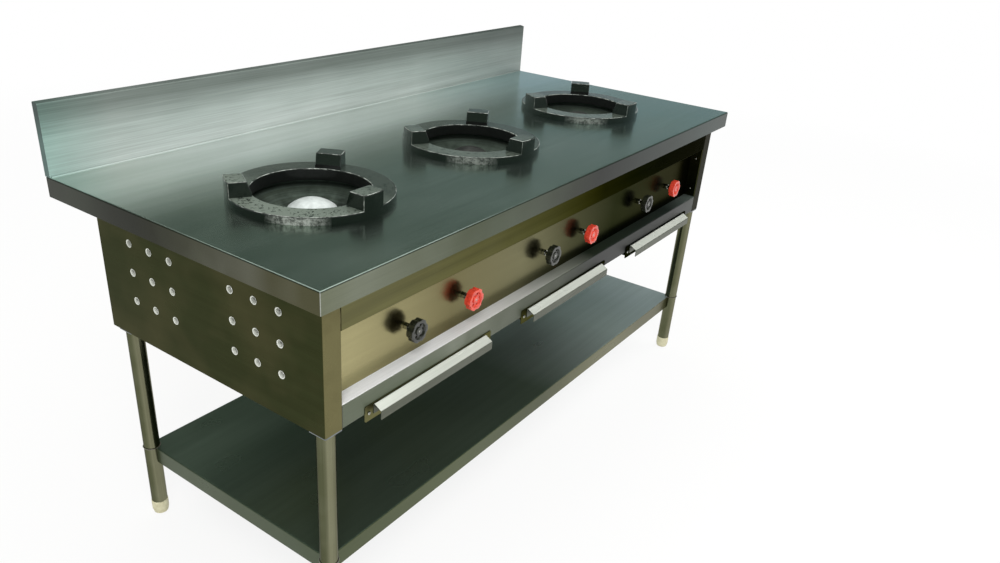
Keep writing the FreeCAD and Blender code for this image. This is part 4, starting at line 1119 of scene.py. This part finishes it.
# ---------------------------------------------------------------- burners
@dataclass
class Burner:
    """One burner: bowl, cast cup, cap and the lift-off pot ring."""

    number: int
    clean_cap: bool = False
    pilot_reach: float = 60.0
    pilot_angle: float = -60.0
    nozzle_middle: float = 804.0
    nozzle_radius: float = 5.2
    nozzle_length: float = 15.0
    shoulder: float = 1.2
    tip_length: float = 2.5
    tip_wall: float = 1.6
    jet_depth: float = 3.0

    def nozzle(self) -> None:
        """Adds the brass pilot nozzle on the end of its tube, with a stepped barrel and a jet hole."""
        cap = middle_of(f"burner_cap_{self.number}")
        angle, reach = math.radians(self.pilot_angle), self.pilot_reach * MM
        x, y = cap.x + reach * math.cos(angle), cap.y + reach * math.sin(angle)
        where = Vector((x, y, self.nozzle_middle * MM))
        piece = add_cylinder(f"pilot_nozzle_{self.number}", self.nozzle_radius, self.nozzle_length, where, "Z", 24)
        edit(piece)
        choose(piece, lambda _, n: n.z > 0.9)
        for wall, rise in ((self.shoulder, self.tip_length), (self.tip_wall, -self.jet_depth)):
            inset((wall, 0.0))
            extrude(0, 0, rise)
        leave_edit()
        soften(piece, 0.4, 2, 40.0)
        place(piece, STAND, "valve_brass", FINISHES.brass)

    def build(self) -> None:
        """Dresses bowl, cup, cap and ring, and adds the pilot nozzle."""
        dress((f"burner_chamber_{self.number}",), FINISHES.bowl)
        dress((f"burner_body_{self.number}",), FINISHES.grey_iron)
        dress((f"burner_cap_{self.number}",), FINISHES.cap if self.clean_cap else FINISHES.sooted_cap)
        dress((f"wok_ring_{self.number}",), FINISHES.rings[self.number - 1])
        self.nozzle()


# ---------------------------------------------------------------- controls
class WheelKind(Enum):
    """Which gas line a handwheel serves."""

    MAIN = "main"
    PILOT = "pilot"

    def finish(self) -> Finish:
        """Black for the main burner, red for the pilot."""
        return FINISHES.black if self is WheelKind.MAIN else FINISHES.red

    def slot(self) -> str:
        """Record slot of the wheel."""
        return "black_handwheel" if self is WheelKind.MAIN else "red_handwheel"


@dataclass
class HandWheel:
    """Moulded handwheel with scalloped rim, dished web, bright spindle and lock nut."""

    kind: WheelKind
    number: int
    lobes: int = 6
    sides: int = 48
    thickness: float = 15.0
    play: float = 0.1
    rim: float = 7.5
    rim_slope: float = 1.5
    dish: float = 4.0
    hub: float = 8.5
    hub_gap: float = 1.0
    hub_slope: float = 0.8
    hub_rise: float = 3.0
    rim_band: float = 2.0
    scallops: Steps = ((0.30, 0.91), (0.16, 0.955))
    web_hole: float = 3.0
    through: float = 30.0
    spindle: float = 4.45
    spindle_sunk: float = 3.6
    slot_steps: Steps = ((1.6, 0.0), (0.2, 2.4), (0.5, 0.4))
    nut_radius: float = 6.0
    nut_length: float = 3.0
    nut_sunk: float = 2.6
    gland_radius: float = 8.0
    gland_length: float = 9.0
    gland_play: float = 0.5
    panel_front: float = -342.5

    def node(self) -> str:
        """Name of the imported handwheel."""
        return f"{self.kind.value}_handwheel_{self.number}"

    def name(self, part: str) -> str:
        """Name of one piece, which for the wheel is its body's name too."""
        return f"{self.kind.value}_{part}_{self.number}"

    def on_axis(self, y: float) -> Vector:
        """Point on the wheel's axis at a Y in metres."""
        middle = middle_of(self.node())
        return Vector((middle.x, y, middle.z))

    def scallop(self, piece: Piece, centre: Vector, radius: float, span: float) -> None:
        """Draws the rim in between the lobes, in edit mode.

        Args:
            piece: The wheel.
            centre: Its middle.
            radius: Its radius.
            span: Angle from one lobe to the next.
        """
        for share, reach in self.scallops:
            choose(
                piece,
                lambda p, _: math.hypot(p.x - centre.x, p.z - centre.z) > (radius - self.rim_band) * MM
                and abs(((math.atan2(p.z - centre.z, p.x - centre.x) / span) % 1.0) - 0.5) < share / 2,
                "VERT",
            )
            bpy.ops.transform.resize(value=(reach, 1, reach), center_override=tuple(centre))

    def wheel(self) -> None:
        """Adds the moulded wheel with rim, web, hub and web holes."""
        low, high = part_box(self.node())
        radius = (high.z - low.z) / 2 / MM
        centre = self.on_axis(low.y + self.thickness / 2 * MM)
        piece = add_cylinder(self.name("wheel"), radius - self.play, self.thickness, centre, "Y", self.sides)
        edit(piece)
        choose(piece, lambda _, n: abs(n.y) > 0.9)
        web = radius - self.rim - self.rim_slope - self.hub - self.hub_gap
        steps = ((self.rim, 0.0), (self.rim_slope, -self.dish), (web, 0.0), (self.hub_slope, self.hub_rise))
        inset(*steps, each=True)
        span = 2 * math.pi / self.lobes
        self.scallop(piece, centre, radius, span)
        leave_edit()
        cutters = []
        reach = (radius - self.rim + self.hub) / 2 * MM
        for i in range(self.lobes):
            where = centre + Vector((reach * math.cos(span * i), 0, reach * math.sin(span * i)))
            cutters.append(add_cylinder("web_hole", self.web_hole, self.through, where, "Y", 16))
        cut(piece, join(cutters, "web_holes"))
        soften(piece, 1.1, 3, 30.0)
        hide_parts(self.node())
        place(piece, self.name("wheel"), self.kind.slot(), self.kind.finish())

    def stem(self) -> None:
        """Adds the bright spindle from the valve to the wheel's face, with a lock nut on its end."""
        low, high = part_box(self.node())
        start = low.y + self.spindle_sunk * MM
        length = (high.y - start) / MM
        rod = add_cylinder("spindle", self.spindle, length, self.on_axis(start + length / 2 * MM), "Y", 24)
        edit(rod)
        choose(rod, lambda _, n: n.y < -0.9)
        inset(*self.slot_steps)
        leave_edit()
        seat = self.on_axis(low.y + self.nut_sunk * MM)
        nut = add_cylinder("lock_nut", self.nut_radius, self.nut_length, seat, "Y", 6)
        soften(nut, 0.5, 2, 30.0)
        piece = join([rod, nut], self.name("spindle"))
        smooth(piece, 40)
        place(piece, self.name("wheel"), "valve_brass", FINISHES.bright)

    def gland(self) -> None:
        """Adds the valve's gland nut, clamped on the front of the control panel, with a hole for the spindle."""
        centre = self.on_axis((self.panel_front - self.gland_length / 2) * MM)
        piece = add_cylinder(self.name("gland"), self.gland_radius, self.gland_length, centre, "Y", 6)
        soften(piece, 0.7, 2, 30.0)
        cut(piece, add_cylinder("gland_bore", self.spindle + self.gland_play, 40, centre, "Y"))
        smooth(piece, 40)
        place(piece, STAND, "valve_brass", FINISHES.bright)

    def build(self) -> None:
        """Builds wheel, spindle and gland."""
        self.wheel()
        self.stem()
        self.gland()


# ---------------------------------------------------------------- gas pipework
@dataclass
class GasTrain:
    """Manifold, valves, feed pipes and the rear inlet, with union nuts and the inlet's pipe thread."""

    outlet_y: float = -306.0
    nut_radii: tuple[tuple[str, float], ...] = (("main", 13.5), ("pilot", 8.5))
    nut_sunk: float = 1.0
    nut_height: float = 0.9
    nut_shoulder: float = 0.22
    nut_collar: float = 0.3
    thread_radius: float = 13.3
    thread_ridge: float = 0.6
    thread_pitch: float = 1.81
    thread_turns: int = 11
    thread_steps: int = 36
    thread_start: tuple[float, float, float] = (767.0, 306.0, 648.0)

    def union_nut(self, centre: Vector, radius: float) -> Piece:
        """Hexagon nut with a turned collar, round an upright pipe.

        Args:
            centre: Middle of the hexagon.
            radius: Radius over the corners.

        Returns:
            The nut.
        """
        height = radius * self.nut_height
        piece = add_cylinder("union_nut", radius, height, centre, "Z", 6)
        edit(piece)
        choose(piece, lambda _, n: n.z > 0.9)
        inset((radius * self.nut_shoulder, 0.0))
        extrude(0, 0, height * self.nut_collar)
        leave_edit()
        soften(piece, 0.8, 2, 35.0)
        return piece

    def union_nuts(self) -> None:
        """One nut where each feed pipe leaves its valve."""
        nuts = []
        for i, (kind, radius) in product(NUMBERS, self.nut_radii):
            valve = f"{kind}_valve_{i}"
            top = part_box(valve)[1].z - self.nut_sunk * MM
            nuts.append(self.union_nut(Vector((middle_of(valve).x, self.outlet_y * MM, top)), radius))
        place(join(nuts, "union_nuts"), STAND, "valve_brass", FINISHES.brass)

    def thread(self) -> None:
        """Adds the pipe thread on the inlet's spigot, one ridge wound round it."""
        deselect()
        bpy.ops.mesh.primitive_circle_add(
            vertices=3, radius=self.thread_ridge * MM, fill_type="NGON",
            location=(self.thread_radius * MM, 0, 0), rotation=(0, 0, -math.pi / 2),
        )
        piece = settle("inlet_thread")
        apply_modifier(
            piece, "SCREW", axis="Y", steps=self.thread_steps, render_steps=self.thread_steps,
            iterations=self.thread_turns, screw_offset=self.thread_pitch * MM,
        )
        piece.data.transform(Matrix.Translation(Vector(self.thread_start) * MM))
        turn_outwards(piece)
        place(piece, STAND, "gas_pipe", FINISHES.gas_pipe)

    def build(self) -> None:
        """Dresses the pipework and adds nuts and thread."""
        dress(("gas_manifold", "inlet_pipe", "main_feed_pipes"), FINISHES.gas_pipe)
        dress(("pilot_tubes",), FINISHES.copper)
        dress([f"{kind}_valve_{i}" for kind, i in product(("main", "pilot"), NUMBERS)], FINISHES.brass)
        self.union_nuts()
        self.thread()


# ---------------------------------------------------------------- trays
@dataclass
class DripTray:
    """One pull-out tray and its folded pull."""

    number: int
    screw_inset: float = 11.0
    screw_rise: float = 18.0
    screw_radius: float = 3.8
    head_height: float = 1.4
    head_steps: Steps = ((0.9, 0.7), (0.9, 0.2))
    cross: Steps = ((3.4, 0.8), (0.8, 3.4))
    cross_depth: float = 2.0
    cross_ahead: float = 2.4

    def screw(self, where: Vector) -> Piece:
        """Cross-head screw with its head towards the front.

        Args:
            where: Middle of the head's seat.

        Returns:
            The screw's head.
        """
        middle = where - Vector((0, self.head_height / 2 * MM, 0))
        head = add_cylinder("screw", self.screw_radius, self.head_height, middle, "Y", 24)
        edit(head)
        choose(head, lambda _, n: n.y < -0.9)
        inset(*self.head_steps)
        leave_edit()
        for width, height in self.cross:
            size = Vector((width, self.cross_depth, height)) * MM
            cut(head, add_block("cross", size, where - Vector((0, self.cross_ahead * MM, 0))))
        smooth(head, 40)
        return head

    def screws(self) -> None:
        """One screw on each end of the front plate, beside the pull."""
        low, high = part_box(f"drip_tray_{self.number}")
        height = low.z + self.screw_rise * MM
        ends = (low.x + self.screw_inset * MM, high.x - self.screw_inset * MM)
        heads = [self.screw(Vector((x, low.y, height))) for x in ends]
        place(join(heads, f"tray_screws_{self.number}"), f"tray_{self.number}", "tray_steel", FINISHES.bright)

    def build(self) -> None:
        """Dresses tray and pull, and adds the screws."""
        dress((f"drip_tray_{self.number}",), FINISHES.front)
        dress((f"tray_handle_{self.number}",), FINISHES.tray)
        self.screws()


# ---------------------------------------------------------------- legs and shelf
@dataclass
class LegFrame:
    """Tube legs, adjustable feet and the undershelf, with their weld beads."""

    bead: float = 1.7
    bead_out: float = 0.3
    bead_sunk: float = 0.6
    ripple: float = 0.25

    def weld(self, centre: Vector, radius: float, seed: int) -> Piece:
        """Fillet weld round a leg.

        Args:
            centre: Middle of the ring.
            radius: Radius of the leg.
            seed: Seed of the ripples.

        Returns:
            The bead.
        """
        deselect()
        bpy.ops.mesh.primitive_torus_add(
            major_radius=(radius + self.bead_out) * MM, minor_radius=self.bead * MM,
            major_segments=72, minor_segments=8, location=centre,
        )
        piece = settle("weld")
        edit(piece, "VERT")
        bpy.ops.mesh.select_all(action="SELECT")
        bpy.ops.transform.vertex_random(offset=self.ripple * MM, uniform=0.2, normal=0.8, seed=seed)
        leave_edit()
        activate(piece)
        bpy.ops.object.shade_smooth()
        return piece

    def build(self) -> None:
        """Dresses legs, feet and shelf, and adds the beads."""
        dress([f"leg_{c}" for c in CORNERS], FINISHES.leg)
        dress([f"foot_{c}" for c in CORNERS], FINISHES.nylon)
        dress(("leg_inserts",), FINISHES.nylon)
        dress(("undershelf", "shelf_clips", "shelf_stiffener"), FINISHES.shelf)
        shelf_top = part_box("undershelf")[1].z
        beads = []
        for i, corner in enumerate(CORNERS, 1):
            low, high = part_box(f"leg_{corner}")
            centre, radius = (low + high) / 2, (high.x - low.x) / 2 / MM
            for height, seed in ((shelf_top, i), (high.z - self.bead_sunk * MM, i + len(CORNERS))):
                beads.append(self.weld(Vector((centre.x, centre.y, height)), radius, seed))
        place(join(beads, "leg_weld_beads"), STAND, "leg_steel", FINISHES.weld)


# ---------------------------------------------------------------- whole range
@dataclass
class WokRange:
    """The whole range."""

    clean_burner: int = 1

    def build(self) -> None:
        """Builds every sub-assembly in order."""
        parts: list[Any] = [Worktop(), Body(), GasTrain(), LegFrame()]
        for i in NUMBERS:
            parts += [Burner(i, i == self.clean_burner), DripTray(i), *(HandWheel(kind, i) for kind in WheelKind)]
        for part in parts:
            part.build()
            LOG.info("built %s", type(part).__name__)


def main() -> None:
    """Dresses the range and sets up the studio."""
    logging.basicConfig(level=logging.INFO, format="%(name)s: %(message)s")
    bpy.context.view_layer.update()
    WokRange().build()
    Studio().build()
    deselect()


if __name__ == "__main__":
    main()
